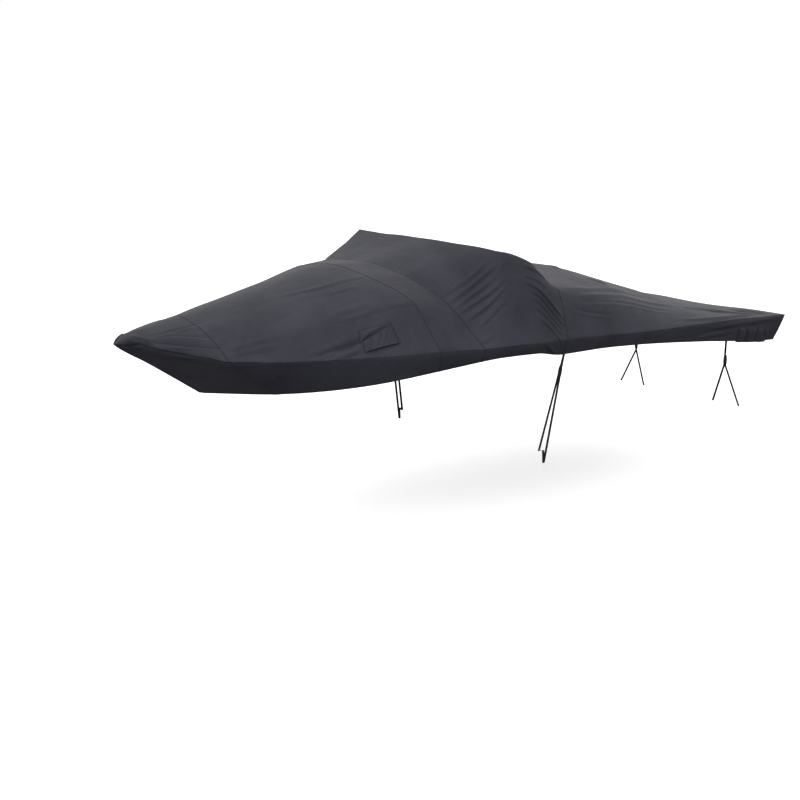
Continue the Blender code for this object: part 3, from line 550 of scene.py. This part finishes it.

# %% [markdown]
# ## Folds
# Tight cloth folds along its pull: in a fan where it is gathered to the bow, in steep folds up the
# peak's face, down its wings to the tie, and in long soft ones towards the stern. Each row is one
# fold, from and to a place given by distance aft of the bow and by girth, the length of cloth from
# the crown (port is negative); one of negative height is a groove. Each fold also gives its valley a
# painted shade. A simulation would make folds too, but not these ones in these places.

# %% The folds, placed in metres, with width and height in millimetres
Fold = namedtuple("Fold", "name x girth to_x to_girth width_mm height_mm")
FOLDS = tuple(Fold(*row) for row in (
    ("nose_hood", -0.03, -0.13, 0.19, -0.2, 70, -22),
    ("nose_knuckle", 0.1, -0.04, 0.24, -0.24, 30, 9),
    ("nose_1", 0.24, -0.178, 0.6, -0.232, 22, -8),
    ("nose_2", 0.22, -0.185, 0.6, -0.435, 22, -8),
    ("nose_broad", 0.22, -0.2, 0.62, -0.505, 50, 10),
    ("nose_3", 0.19, -0.215, 0.64, -0.575, 24, -14),
    ("nose_4", 0.22, -0.27, 0.65, -0.64, 30, 9),
    ("nose_skirt", 0.32, -0.47, 0.56, -0.67, 34, 10),
    ("nose_skirt_low", 0.26, -0.42, 0.47, -0.68, 30, 6),
    ("nose_hood_far", -0.03, 0.13, 0.19, 0.2, 70, -18),
    ("nose_far_1", 0.18, 0.18, 0.62, 0.3, 34, 10),
    ("nose_far_2", 0.18, 0.2, 0.64, 0.45, 34, 12),
    ("nose_far_3", 0.18, 0.21, 0.65, 0.58, 34, 10),
    ("seam_1_upper", 0.62, -0.545, 0.92, -0.685, 28, 8),
    ("seam_1_lower", 0.62, -0.6, 0.98, -0.775, 26, 9),
    ("seam_1_far", 0.63, 0.55, 0.92, 0.72, 26, 6),
    ("crown_pull", 1.2, -0.28, 1.93, -0.44, 30, 7),
    ("crown_pull_low", 1.48, -0.46, 1.8, -0.57, 26, 4),
    ("shoulder_pull_1", 1.42, -0.795, 2.07, -0.95, 26, 6),
    ("shoulder_pull_2", 1.42, -0.725, 1.92, -0.875, 26, 4.5),
    ("shoulder_pull_3", 1.44, -0.69, 1.78, -0.805, 24, 4),
    ("shoulder_far_1", 1.28, 0.62, 2.08, 0.92, 40, 8),
    ("shoulder_far_2", 1.45, 0.8, 2.0, 1.02, 34, 6),
    ("flap_pull_upper", 1.08, -0.93, 1.44, -0.975, 30, 5),
    ("flap_pull_root", 1.3, -1.0, 1.6, -1.035, 46, -22),
    ("flap_pull_tail", 1.14, -0.965, 1.62, -1.04, 22, -10),
    ("flap_pull_low", 1.24, -1.06, 1.5, -1.085, 22, 6),
    ("face_1", 2.36, -0.855, 2.76, -0.945, 19, 9),
    ("face_2", 2.35, -0.92, 2.8, -1.02, 20, 11),
    ("face_3", 2.39, -0.995, 2.77, -1.08, 19, 10),
    ("face_4", 2.42, -1.06, 2.83, -1.155, 20, 10),
    ("face_5", 2.46, -1.14, 2.82, -1.215, 18, 10),
    ("face_6", 2.53, -1.24, 2.8, -1.295, 19, 6),
    ("face_foot", 2.47, -1.34, 2.65, -1.39, 20, 5),
    ("face_far_1", 2.36, 0.86, 2.76, 0.99, 26, 14),
    ("face_far_2", 2.4, 0.95, 2.78, 1.08, 26, 14),
    ("face_far_3", 2.46, 1.06, 2.8, 1.18, 26, 12),
    ("peak_corner", 2.8, -0.99, 3.14, -1.03, 100, 14),
    ("wing_crest", 2.98, -1.09, 3.2, -1.12, 20, 8),
    ("wing_1", 2.98, -1.165, 3.18, -1.215, 17, 7),
    ("wing_2", 2.97, -1.215, 3.32, -1.385, 17, 15),
    ("wing_3", 2.99, -1.28, 3.31, -1.435, 17, 13),
    ("wing_4", 3.02, -1.345, 3.28, -1.485, 16, 10),
    ("wing_5", 3.03, -1.415, 3.27, -1.535, 17, 9),
    ("wing_6", 3.06, -1.51, 3.28, -1.6, 17, 9),
    ("wing_far_1", 2.96, 1.24, 3.24, 1.33, 26, 14),
    ("wing_far_2", 3.0, 1.38, 3.3, 1.5, 26, 14),
    ("tie_pull_fore", 3.05, -1.7, 3.36, -1.76, 30, 10),
    ("tie_pull_aft", 3.6, -1.62, 3.33, -1.78, 40, 8),
    ("tie_far_fore", 3.06, 1.7, 3.36, 1.76, 30, 10),
    ("aft_shoulder", 3.38, -1.085, 4.78, -0.745, 50, 10),
    ("aft_long_1", 3.55, -1.135, 4.98, -0.9, 36, 9),
    ("aft_long_2", 3.52, -1.215, 4.8, -1.055, 26, -8),
    ("aft_long_3", 3.42, -1.275, 3.88, -1.29, 22, -7),
    ("aft_long_4", 4.78, -1.29, 5.72, -1.16, 24, -9),
    ("aft_long_5", 4.95, -0.88, 5.6, -0.96, 36, 8),
    ("aft_fan_1", 5.1, -0.83, 6.1, -1.09, 36, 10),
    ("aft_crest", 4.72, -1.215, 5.98, -1.085, 34, 11),
    ("aft_rail", 4.95, -1.325, 6.18, -1.23, 30, 12),
    ("bench_corner", 4.12, -0.62, 4.28, -0.76, 34, 10),
    ("cockpit_crown", 3.34, 0.02, 4.0, 0.02, 300, 13),
    ("bench_crown", 4.08, -0.32, 4.22, -0.08, 60, 10),
    ("tail_1", 5.76, -0.84, 6.08, -0.85, 22, 9),
    ("tail_2", 5.78, -0.92, 6.08, -0.93, 22, 9),
    ("tail_3", 5.8, -1.0, 6.1, -1.01, 22, 8),
    ("aft_far_1", 3.5, 1.0, 5.2, 1.06, 60, 10),
    ("aft_far_2", 3.9, 1.2, 5.8, 1.16, 50, 9),
    ("quarter_1", 4.76, -1.445, 5.56, -1.285, 24, -11),
    ("quarter_2", 4.8, -1.47, 5.56, -1.385, 22, -9),
    ("quarter_far", 4.5, 1.42, 5.6, 1.31, 36, 10),
))
WANDER = 0.25
UNEVEN = 0.15
BELL_STEEP = 3.0
BELL_LEAN = 0.35
HOLLOW_DEEP = 0.6
HOLLOW_BELOW = 1.25
VALLEY_STEEP = 5.0
VALLEY_BELOW = 1.1
SHADE = 0.85

SOFT_RAIL = 0.004
SOFT_BOW = 0.010
SOFT_WIDTH = 0.018
SOFT_BOW_WIDTH = 0.03
BOW_REACH = 0.85
BULGE = 1.6
BULGE_BELOW = 0.055
BULGE_WIDTH = 0.035

SLACK_WAVES = ((7.1, 5.3, 0.7, 0.0016), (11.9, -8.3, 2.1, 0.0010), (4.7, 13.1, 4.4, 0.0012))


def fold_heights(x, girth):
    """Sum of the folds. Across one it is a bell, steep on its lower side and gentle on its upper
    one, less a second, lower bell below it. Along it the height fades at both ends as one minus the
    cube of the way from its middle, and its line wanders by a slow sine. A fold of negative height is
    a groove. The painted shade is a narrow bell along each valley, in step with how steep its fold is."""
    raised, shade = np.zeros_like(x), np.zeros_like(x)
    for number, fold in enumerate(FOLDS):
        run = np.array([fold.to_x - fold.x, fold.to_girth - fold.girth])
        length = np.linalg.norm(run)
        way = run / length
        width, height = fold.width_mm / 1000, fold.height_mm / 1000
        ahead = ((x - fold.x) * way[0] + (girth - fold.girth) * way[1]) / length
        aside = ((girth - fold.girth) * way[0] - (x - fold.x) * way[1]) / width
        below = aside * np.sign(way[0]) * np.sign(fold.girth)
        below += WANDER * np.sin(5.0 * ahead + 1.7 * number)
        ends = 1 - np.clip(abs(2 * ahead - 1), 0, 1) ** 3
        bell = np.exp(-BELL_STEEP * (below / (1.0 - BELL_LEAN * np.tanh(2 * below))) ** 2)
        hollow = HOLLOW_DEEP * np.exp(-BELL_STEEP * (below - HOLLOW_BELOW) ** 2)
        uneven = 1 - UNEVEN + UNEVEN * np.sin(8 * ahead + number)
        raised += height * ends * uneven * (bell - hollow)
        # Painted shade: a narrow bell along the valley, stronger for steeper folds.
        valley = below - VALLEY_BELOW if height > 0 else below
        shade += SHADE * abs(height) / width * ends * np.exp(-VALLEY_STEEP * valley ** 2)
    return raised, np.clip(shade, 0, 1)


def rail_softness(x, girth, rail):
    """How far the cloth rounds over the rail: a bell along it, deeper and wider towards the bow, less
    a bulge just under it there."""
    bow = np.clip(1 - x / BOW_REACH, 0, 1)
    under = np.maximum(rail[0] - girth, girth - rail[1])
    rounding = np.exp(-(under / (SOFT_WIDTH + SOFT_BOW_WIDTH * bow)) ** 2)
    bulge = BULGE * SOFT_BOW * bow * np.exp(-((under - BULGE_BELOW) / BULGE_WIDTH) ** 2)
    return (SOFT_RAIL + SOFT_BOW * bow) * rounding - bulge


def slack(x, girth):
    """Slow unevenness of hand-pulled cloth: three crossing waves, each 1 to 2 mm high."""
    return sum(high * np.sin(aft * x + across * girth + start) for aft, across, start, high in SLACK_WAVES)


highest = max(FOLDS, key=lambda fold: fold.height_mm)
print(len(FOLDS), "folds, the highest", highest.name, highest.height_mm, "mm")

# %% [markdown]
# ## Panels
# Each panel is a grid: rows across the cover, columns from hem to hem. At a seam the panel behind
# laps 15 mm over the one in front, so it starts early and stands 1.6 mm proud there, and both pucker
# a little from the thread's pull. The hem is turned under and stitched. It is part of its cloth, so
# it is a thicker band and no piece of its own.

# %% Grid of one panel
PANELS = (
    ("nose_panel", "tip", "seam_1", 0.011),
    ("fore_panel", "seam_1", "seam_2", 0.0125),
    ("yoke_panel", "seam_2", "seam_3", 0.012),
    ("peak_panel", "seam_3", "seam_4", 0.0092),
    ("aft_panel", "seam_4", "stern", 0.0180),
)
CLOTH_THICK = 0.0012
LAP = 0.015
LAP_PROUD = 0.0016
LAP_END = 0.003
LAP_SLOPE = 0.008
LAP_ROWS = LAP * np.array([-1.0, -0.66, -0.33])
SEAM_ROWS = np.array([0.0, 0.004, 0.009, 0.016])
FINE_ROWS = 3000
PUCKER_LENGTH = 0.062
PUCKER_HEIGHT = 0.0009
PUCKER_REACH = 0.05
HEM_BAND = 0.025
HEM_PROUD = 0.0012
HEM_FADE = 0.03
END_FADE = 0.05
NO_SEAM = 1.0
SLIP = 1e-9
TOP_COLUMNS = np.concatenate([np.linspace(0, 2, 49), np.linspace(2, 3, 71)[1:]])
SKIRT_COLUMNS = np.array([
    0.03, 0.07, 0.12, 0.18, 0.24, 0.30, 0.38, 0.46, 0.54,
    0.62, 0.70, 0.77, 0.83, 0.87, 0.90, 0.95, 1.0])


def row_places(first, last, spacing):
    """Section positions of a panel's rows, and their distance aft of its seam along the shoulder.

    Rows are even, closer by the seams, and on all panels but the first they start a lap's width
    before the seam."""
    start = NAMES.index(first)
    dense = np.linspace(max(start - 0.5, 0), NAMES.index(last), FINE_ROWS)
    reach = reach_along(along(-1, dense)[:, 2])
    reach -= np.interp(start, dense, reach)
    lap = LAP_ROWS if start else LAP_ROWS[:0]
    end = reach[-1] - SEAM_ROWS[-1] - 0.5 * spacing
    inner = np.arange(SEAM_ROWS[-1] + spacing, end, spacing)
    wanted = np.concatenate([lap, SEAM_ROWS, inner, reach[-1] - SEAM_ROWS[::-1]])
    return np.interp(wanted, reach, dense), wanted


def taut_grid(at):
    """Rows across the cover at section positions `at`: (rows, columns, 3), port hem first."""
    port, starboard = along(-1, at), along(1, at)
    through = np.concatenate([port[:, 3::-1], starboard[:, 1:4]], axis=1).transpose(1, 0, 2)
    columns = np.concatenate([-TOP_COLUMNS[:0:-1], TOP_COLUMNS])
    top = smooth(np.arange(-3, 4), through.reshape(7, -1), columns).reshape(len(columns), len(at), 3)
    share = SKIRT_COLUMNS[:, None, None]
    skirts = []
    for side, lines in ((-1, port), (1, starboard)):
        fall = lines[None, :, 3] + (lines[:, 4] - lines[:, 3])[None] * share
        fall[..., 1] += side * SKIRT_BELLY * 4 * share[..., 0] * (1 - share[..., 0]) * np.minimum(
            1.0, abs(lines[None, :, 3, 1]))
        skirts.append(fall)
    return np.concatenate([skirts[0][::-1], top, skirts[1]]).transpose(1, 0, 2)


def grid_normals(grid):
    """Each point's normal: the sum of the cross products of the diagonals of the cells round it."""
    cell = np.cross(grid[1:, 1:] - grid[:-1, :-1], grid[:-1, 1:] - grid[1:, :-1])
    total = np.zeros_like(grid)
    for rows in (slice(None, -1), slice(1, None)):
        for columns in (slice(None, -1), slice(1, None)):
            total[rows, columns] += cell
    return total / np.maximum(np.linalg.norm(total, axis=2, keepdims=True), TINY)


def lengths_from(grid, axis):
    """Length of cloth from the grid's first row (axis 0) or first column (axis 1) to each point."""
    steps = np.linalg.norm(np.diff(grid, axis=axis), axis=2)
    pad = ((1, 0), (0, 0)) if axis == 0 else ((0, 0), (1, 0))
    return np.pad(np.cumsum(steps, axis=axis), pad)


print("columns from hem to hem:", 2 * (len(TOP_COLUMNS) + len(SKIRT_COLUMNS)) - 1)


# %% Make the five panels
def panel_cloth(first, last, spacing):
    """A panel's grid with its folds, seams and hem, and each point's flat place and distances."""
    at, reach = row_places(first, last, spacing)
    grid = taut_grid(at)
    normals = grid_normals(grid)
    girth = lengths_from(grid, 1)
    hem = np.minimum(girth, girth[:, -1:] - girth)
    girth = girth - girth[:, girth.shape[1] // 2][:, None]
    aft = lengths_from(grid, 0)
    lapped = first != "tip"
    seam = aft if lapped else np.full_like(aft, NO_SEAM)
    near = seam - LAP if lapped else seam
    near = np.minimum(abs(near), aft[-1:] - aft)
    closed = at <= NAMES.index("foot") + SLIP
    edge = len(SKIRT_COLUMNS)
    rail = (girth[:, edge:edge + 1], girth[:, -edge - 1:-edge])
    raised, shade = fold_heights(grid[..., 0], girth)
    raised += slack(grid[..., 0], girth)
    raised -= rail_softness(grid[..., 0], girth, rail)
    wave = np.sin(2 * np.pi * girth / PUCKER_LENGTH + 3 * np.sin(7 * girth))
    raised += PUCKER_HEIGHT * wave * np.exp(-(near / PUCKER_REACH) ** 2)
    raised *= np.clip(hem / HEM_FADE, 0, 1) * np.clip(grid[..., 0] / END_FADE, 0, 1)
    if lapped:
        raised += LAP_PROUD * (1 - np.clip((reach - LAP_END) / LAP_SLOPE, 0, 1))[:, None]
    if last == "stern":
        raised *= np.clip((aft[-1:] - aft) / END_FADE, 0, 1)
    raised += HEM_PROUD * (hem < HEM_BAND) * ~closed[:, None]
    shaped = grid + normals * raised[..., None]
    flat = np.stack([aft + grid[:1, :, 0], girth], axis=-1)
    return place(shaped), flat, {"seam": seam, "hem": hem, "shade": shade}, closed


def closed_faces(faces, shape, closed, pointed):
    """Faces with the two ends of each closed row joined into one line, and the tip into one point."""
    rows, columns = shape
    number = np.arange(rows * columns).reshape(rows, columns)
    number[closed, -1] = number[closed, 0]
    if pointed:
        number[0] = number[0, 0]
    return number.ravel()[faces]


cloths = {}
for node, first, last, spacing in PANELS:
    points, flat, marks, closed = panel_cloth(first, last, spacing)
    rows, columns = points.shape[:2]
    faces = closed_faces(grid_faces(rows, columns), (rows, columns), closed, first == "tip")
    faces = [list(dict.fromkeys(face)) for face in faces.tolist()]
    faces = [face for face in faces if len(face) > 2]
    piece = mesh_piece(node + "_cloth", points.reshape(-1, 3), faces, cover_cloth,
                       flat.reshape(-1, 2), marks)
    thicken(piece, CLOTH_THICK)
    cloths[node] = (piece, points, flat)
    print(piece.name, rows, "rows of", columns)

# %% [markdown]
# ## Stern apron
# A strip closes the stern. It hangs from the last line of the cover and has a notch in its hem.

# %% Stern apron
NOTCH_HALF = 0.30
NOTCH_SHOULDER = 0.10
NOTCH_Z = 1.425
SET_IN = 0.0015
SOLID_CLOTH = 0.002
APRON_GRID = (160, 26)
RIPPLE_HIGH = 0.003
RIPPLE_FADE = 0.08


def ease(share):
    """From 0 to 1 with level ends: three times the square less twice the cube."""
    return share * share * (3 - 2 * share)


def apron_grid(columns, rows):
    """Hung from the last section: x rakes and y narrows in step with the fall from the rail."""
    stern = SECTIONS[-1]
    across = np.linspace(-stern.half, stern.half, columns)
    shoulder_half = stern.half - stern.inset
    knots = np.array([0.0, 0.5 * shoulder_half, shoulder_half, stern.half])
    heights = section_points(stern, -1)[:4, 2:]
    top_z = smooth(knots, heights, abs(across))[:, 0] + SOLID_CLOTH / 2
    into_notch = np.clip((NOTCH_HALF + NOTCH_SHOULDER - abs(across)) / NOTCH_SHOULDER, 0, 1)
    hem_z = stern.hem_z + (NOTCH_Z - stern.hem_z) * ease(into_notch)
    depth = stern.rail_z - stern.hem_z
    z = top_z + (hem_z - top_z) * np.linspace(0, 1, rows)[:, None]
    fall = np.clip(top_z - SOLID_CLOTH / 2 - z, 0, None)
    y = across * (stern.half + SOLID_CLOTH / 2 - (stern.half - stern.hem_half) / depth * fall) / stern.half
    x = stern.rail_x - (stern.rail_x - stern.hem_x) / depth * fall - SET_IN
    ripple = RIPPLE_HIGH * np.sin(31.0 * y + 4.0 * z) * np.clip(fall / RIPPLE_FADE, 0, 1)
    return place(np.stack([x + ripple, y, z], axis=2))


points = apron_grid(*APRON_GRID)
flat = np.stack([lengths_from(points, 1), lengths_from(points, 0)], axis=-1)
hem = flat[-1:, :, 1] - flat[..., 1]
faces = grid_faces(*points.shape[:2])
piece = mesh_piece("stern_panel_cloth", points.reshape(-1, 3), faces, cover_cloth,
                   flat.reshape(-1, 2), {"seam": flat[..., 1], "hem": hem})
thicken(piece, CLOTH_THICK)
cloths["stern_panel"] = (piece, points, flat)
print(piece.name, "spans", round(float(np.ptp(points[..., 1])), 3), "m")

# %% [markdown]
# ## Vent flaps
# A vent flap is a small four-cornered cloth sewn on three sides. Its lower edge stands open, and the
# pull of the cover drags one diagonal crease across it. It follows the panel underneath, so its points
# are looked up on that panel and then raised.

# %% Lay a small cloth on a panel
SIDES = ((-1, "port"), (1, "starboard"))
SMALL_THICK = 0.001
SMALL_STAND = 0.0021


def places_on(points, wanted, axes):
    """For each wanted pair of coordinates, the panel's nearest grid point, moved to the exact place
    along the two grid directions there; and that point's normal."""
    normals = grid_normals(points)
    inner = points[1:-1, 1:-1].reshape(-1, 3)
    down = (points[2:, 1:-1] - points[:-2, 1:-1]).reshape(-1, 3) / 2
    over = (points[1:-1, 2:] - points[1:-1, :-2]).reshape(-1, 3) / 2
    facing = normals[1:-1, 1:-1].reshape(-1, 3)
    gap = ((wanted[:, None] - inner[None][..., axes]) ** 2).sum(axis=2)
    near = gap.argmin(axis=1)
    basis = np.stack([down[near][:, axes], over[near][:, axes]], axis=2)
    share = np.linalg.solve(basis, (wanted - inner[near][:, axes])[..., None])[..., 0]
    share = np.clip(share, -1, 1)
    found = inner[near] + down[near] * share[:, :1] + over[near] * share[:, 1:]
    return found, facing[near]


def corner_blend(corners, s, t):
    """A place inside four corners: along the top and bottom edges by s, then between them by t."""
    fore_top, aft_top, aft_low, fore_low = np.asarray(corners)
    top = fore_top * (1 - s) + aft_top * s
    low = fore_low * (1 - s) + aft_low * s
    return top * (1 - t) + low * t


def share_grid(shape):
    """How far each point of a grid lies along it (s) and down it (t), each from 0 to 1."""
    return np.meshgrid(*(np.linspace(0, 1, count) for count in shape), indexing="ij")


def sewn_share(s, t, sides, top):
    """0 on the sewn sides and top, easing to 1 at the given shares of the way in."""
    return ease(np.clip(np.minimum(np.minimum(s, 1 - s) / sides, t / top), 0, 1))


def small_cloth(node, side, found, facing, raised, shade, open_below):
    """A small cloth from its places on the panel, raised along the normals there."""
    found = (found + facing * raised.reshape(-1, 1)).reshape(*raised.shape, 3)
    flat = np.stack([lengths_from(found, 0), lengths_from(found, 1)], axis=-1)
    edge = np.minimum(np.minimum(flat[..., 0], flat[-1:, :, 0] - flat[..., 0]), flat[..., 1])
    if not open_below:
        edge = np.minimum(edge, flat[:, -1:, 1] - flat[..., 1])
    faces = grid_faces(*raised.shape)
    if side < 0:
        faces = faces[:, ::-1]
    piece = mesh_piece(node + "_cloth", found.reshape(-1, 3), faces, patch_cloth, flat.reshape(-1, 2),
                       {"seam": edge, "hem": np.ones_like(edge), "shade": shade})
    thicken(piece, SMALL_THICK)
    print(node, "is", flat[-1, -1].round(3), "m")
    return piece, found, flat


# %% Make the vent flaps
FLAP_CORNERS = ((1.545, 0.864), (1.800, 0.925), (1.815, 1.035), (1.520, 0.989))
FLAP_GRID = (61, 41)
FLAP_STAND = 0.014
FLAP_PUFF = 0.010
FLAP_GROOVE = 0.0098
FLAP_RIDGE = 0.004
FLAP_CREASE = 0.0013
GROOVE_START = 0.44
GROOVE_RISE = 0.32
GROOVE_WIDTH = 0.09
GROOVE_TAPER = 0.04
RIDGE_OVER = 0.14
RIDGE_WIDTH = 0.07
MOUTH_ENDS = 0.35


def flap_heights(s, t):
    """Height over the panel: a puffed field with a groove across it on a diagonal, a low ridge
    over the groove, small slanting creases under it, and an open lower edge. Painted shade darkens
    the groove and the creases' valleys."""
    sewn = sewn_share(s, t, 0.10, 0.12)
    line = GROOVE_START - GROOVE_RISE * s
    groove = np.exp(-((t - line) / (GROOVE_WIDTH - GROOVE_TAPER * s)) ** 2) * np.clip(1.2 - s, 0, 1)
    ridge = np.exp(-((t - line + RIDGE_OVER) / RIDGE_WIDTH) ** 2)
    creases = np.sin(40 * (s + 0.5 * t) + 4 * np.sin(4 * s + 3 * t)) * np.clip((t - line) / 0.25, 0, 1)
    mouth = FLAP_STAND * (MOUTH_ENDS + (1 - MOUTH_ENDS) * np.sin(np.pi * s)) * t ** 3
    raised = FLAP_PUFF - FLAP_GROOVE * groove + FLAP_RIDGE * ridge + FLAP_CREASE * creases
    # Painted shade in the groove and in the creases' valleys.
    shade = np.clip(1.2 * groove * sewn + 0.25 * (creases < -0.3), 0, 1)
    return SMALL_STAND + raised * sewn + mouth * sewn, shade


def make_flap(side, word):
    """One vent flap, laid on the fore panel of its side."""
    panel = cloths["fore_panel"][1]
    middle = panel.shape[1] // 2
    skirt = len(SKIRT_COLUMNS)
    half = panel[:, skirt:middle + 1] if side < 0 else panel[:, middle:-skirt]
    s, t = share_grid(FLAP_GRID)
    wanted = corner_blend(FLAP_CORNERS, s[..., None], t[..., None]).reshape(-1, 2)
    found, facing = places_on(half, wanted * (1, side) - (PEAK_X, 0), [0, 1])
    return small_cloth("vent_flap_" + word, side, found, facing, *flap_heights(s, t), open_below=True)


for side, word in SIDES:
    cloths["vent_flap_" + word] = make_flap(side, word)

# %% [markdown]
# ## Quarter patches
# Near the stern a patch on the skirt is gathered on elastic, which leaves it full of upright puckers.
# Their crowns catch the light, and their valleys are dark from their own shading and from painted
# shade. The patch reaches a little below the hem, where it hangs on in the skirt's own direction.

# %% Make the quarter patches
PATCH_CORNERS = ((5.50, 0.38), (5.97, 0.48), (5.99, 1.04), (5.53, 1.03))
PATCH_GRID = (161, 41)
PATCH_FLAT = 0.001
PATCH_PUCKER = 0.008
PATCH_WRINKLE = 0.0020
PATCH_RIPPLE = 0.0006
ARCHES = 2.6
ARCHES_CLOSER = 0.35
ARCHES_START = 0.30
ARCH_LEAN = 0.22
ARCH_ROUND = 0.6
WRINKLES = 15
WRINKLES_FROM = 0.66
RIPPLES = 7
PATCH_HELD = 0.94
PATCH_STEP = 0.02
PATCH_COLUMNS = len(SKIRT_COLUMNS) + 6


def pucker_heights(s, t):
    """Height over the skirt: arches that lean and widen downwards, with sharp valleys between, and
    finer wrinkles near the aft end, all sewn flat along the sides and the top; and the painted shade,
    which darkens the valleys."""
    lean = s - ARCH_LEAN * (t - 0.5) * (s - 0.35) + 0.03 * np.sin(5 * t + 7 * s)
    wave = abs(np.sin(np.pi * (ARCHES * lean + ARCHES_CLOSER * lean ** 2 + ARCHES_START)))
    arches = wave ** ARCH_ROUND * (1 - 0.35 * (2 * t - 0.9) ** 2)
    aft_end = np.clip((s - WRINKLES_FROM) / 0.1, 0, 1) * np.clip(2.2 * t, 0, 1)
    wrinkles = np.sin(2 * np.pi * WRINKLES * lean + 6 * t) * aft_end
    ripples = np.sin(2 * np.pi * RIPPLES * lean - 4 * t)
    raised = PATCH_FLAT + PATCH_PUCKER * arches + PATCH_WRINKLE * (1 + wrinkles)
    raised = raised + PATCH_RIPPLE * (1 + ripples)
    # Painted shade in the valleys between the arches, less on the wrinkles' crests.
    shade = np.clip(1.1 - 2.4 * wave, 0, 1) * (1 - 0.6 * np.clip(wrinkles, 0, 1))
    return SMALL_STAND + raised * sewn_share(s, t, 0.06, 0.15), shade


def line_height(x, line):
    """Height of the rail or the hem at x, read between the sections."""
    return np.interp(x, *([getattr(row, line + axis) for row in SECTIONS] for axis in ("_x", "_z")))


def make_patch(side, word):
    """One gathered patch, laid on the aft panel's skirt on its side."""
    panel = cloths["aft_panel"][1]
    half = panel[:, :PATCH_COLUMNS] if side < 0 else panel[:, -PATCH_COLUMNS:]
    s, t = share_grid(PATCH_GRID)
    x, depth = np.moveaxis(corner_blend(PATCH_CORNERS, s[..., None], t[..., None]), -1, 0)
    rail_z, hem_z = line_height(x, "rail"), line_height(x, "hem")
    held = np.minimum(depth, PATCH_HELD)
    wanted = np.stack([x - PEAK_X, rail_z + (hem_z - rail_z) * held - PEAK_Z], axis=-1).reshape(-1, 2)
    found, facing = places_on(half, wanted, [0, 2])
    above, _ = places_on(half, wanted + (0, PATCH_STEP), [0, 2])
    hang = (depth - held) * (rail_z - hem_z)
    found += (found - above) / PATCH_STEP * hang.reshape(-1, 1)
    return small_cloth("quarter_patch_" + word, side, found, facing, *pucker_heights(s, t), open_below=False)


for side, word in SIDES:
    cloths["quarter_patch_" + word] = make_patch(side, word)

# %% [markdown]
# Each cloth hangs from the root, and the solid of the same name is hidden.


for node, (piece, points, flat) in cloths.items():
    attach(piece, "root")
    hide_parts(node)

# %% [markdown]
# ## Floor and light
# The photograph is a white studio: even light from above, and nothing bright below, so the top is
# mid grey and the skirt nearly black. The sky here is white above the horizon and dark below. It is
# brighter low down behind the stern, which gives the aft top its glancing shine, and dimmer half way
# up on the far side, which keeps the peak's face dark. A weak lamp high on the far side and a broad
# one low off the port bow model the folds. The pale floor takes the shadow but sends no light up,
# and glows a little itself so that the shadow stays light.

# %% Floor
GROUND_Z = -PEAK_Z
FLOOR_REACH = 300.0
FLOOR_GLOW = 0.35
corners = FLOOR_REACH * np.array([(-1, -1, 0), (1, -1, 0), (1, 1, 0), (-1, 1, 0)]) + (0, 0, GROUND_Z)
paper, _, _ = new_finish("white_paper", {
    "Base Color": linear("#FCFCFC"), "Roughness": 0.9,
    "Emission Color": linear("#FFFFFF"), "Emission Strength": FLOOR_GLOW})
floor = mesh_piece("floor", corners.tolist(), [(0, 1, 2, 3)], paper)
floor.visible_diffuse = False
floor.visible_glossy = False
print("floor at", GROUND_Z, "m")

# %% Sky and lamps
# Each band of the sky: the axis it is read along, from where to where, and its value at both ends.
SKY_BANDS = (
    ("Z", -0.08, -0.03, 0.0, 1.0),
    ("Z", 0.06, 0.22, 1.0, 0.0),
    ("X", 0.45, 0.65, 0.0, 0.8),
    ("Y", 0.45, 0.8, 0.0, -0.3),
    ("Z", 0.3, 0.5, 0.0, 1.0),
)
world = bpy.data.worlds.new("studio")
world.use_nodes = True
tree = world.node_tree
background = tree.nodes["Background"]
toward = add(tree, "SeparateXYZ", None, {0: add(tree, "TexCoord").outputs["Generated"]})
above, low, aft, far, high = (
    add(tree, "MapRange", None, {
        "Value": toward.outputs[axis], "From Min": start, "From Max": end, "To Min": first, "To Max": last})
    for axis, start, end, first, last in SKY_BANDS)
sky = add(tree, "Mix", RGBA, {"Factor": above, "A": linear("#58585C"), "B": linear("#FFFFFF")})
dim = add(tree, "Math", TIMES_PLUS, {0: far, 1: high, 2: 1.0})
strength = add(tree, "Math", TIMES_PLUS, {0: low, 1: aft, 2: dim})
tree.links.new(sky.outputs["Result"], background.inputs["Color"])
tree.links.new(strength.outputs[0], background.inputs["Strength"])
bpy.context.scene.world = world
bpy.context.scene.view_settings.view_transform = "Standard"


def lamp(name, toward, strength, spread_deg):
    """A broad sun: light from the place `toward` the cover's middle, softened over its spread."""
    made = bpy.data.objects.new(name, bpy.data.lights.new(name, "SUN"))
    bpy.context.collection.objects.link(made)
    made.rotation_euler = Vector(toward).to_track_quat("Z", "Y").to_euler()
    made.data.energy = strength
    made.data.angle = np.radians(spread_deg)
    print(name, "of strength", strength, "over", spread_deg, "degrees")


lamp("key_light", (0.45, 0.65, 1.0), 0.3, 40.0)
lamp("port_fill", (-0.9, -0.65, 0.35), 2.2, 70.0)
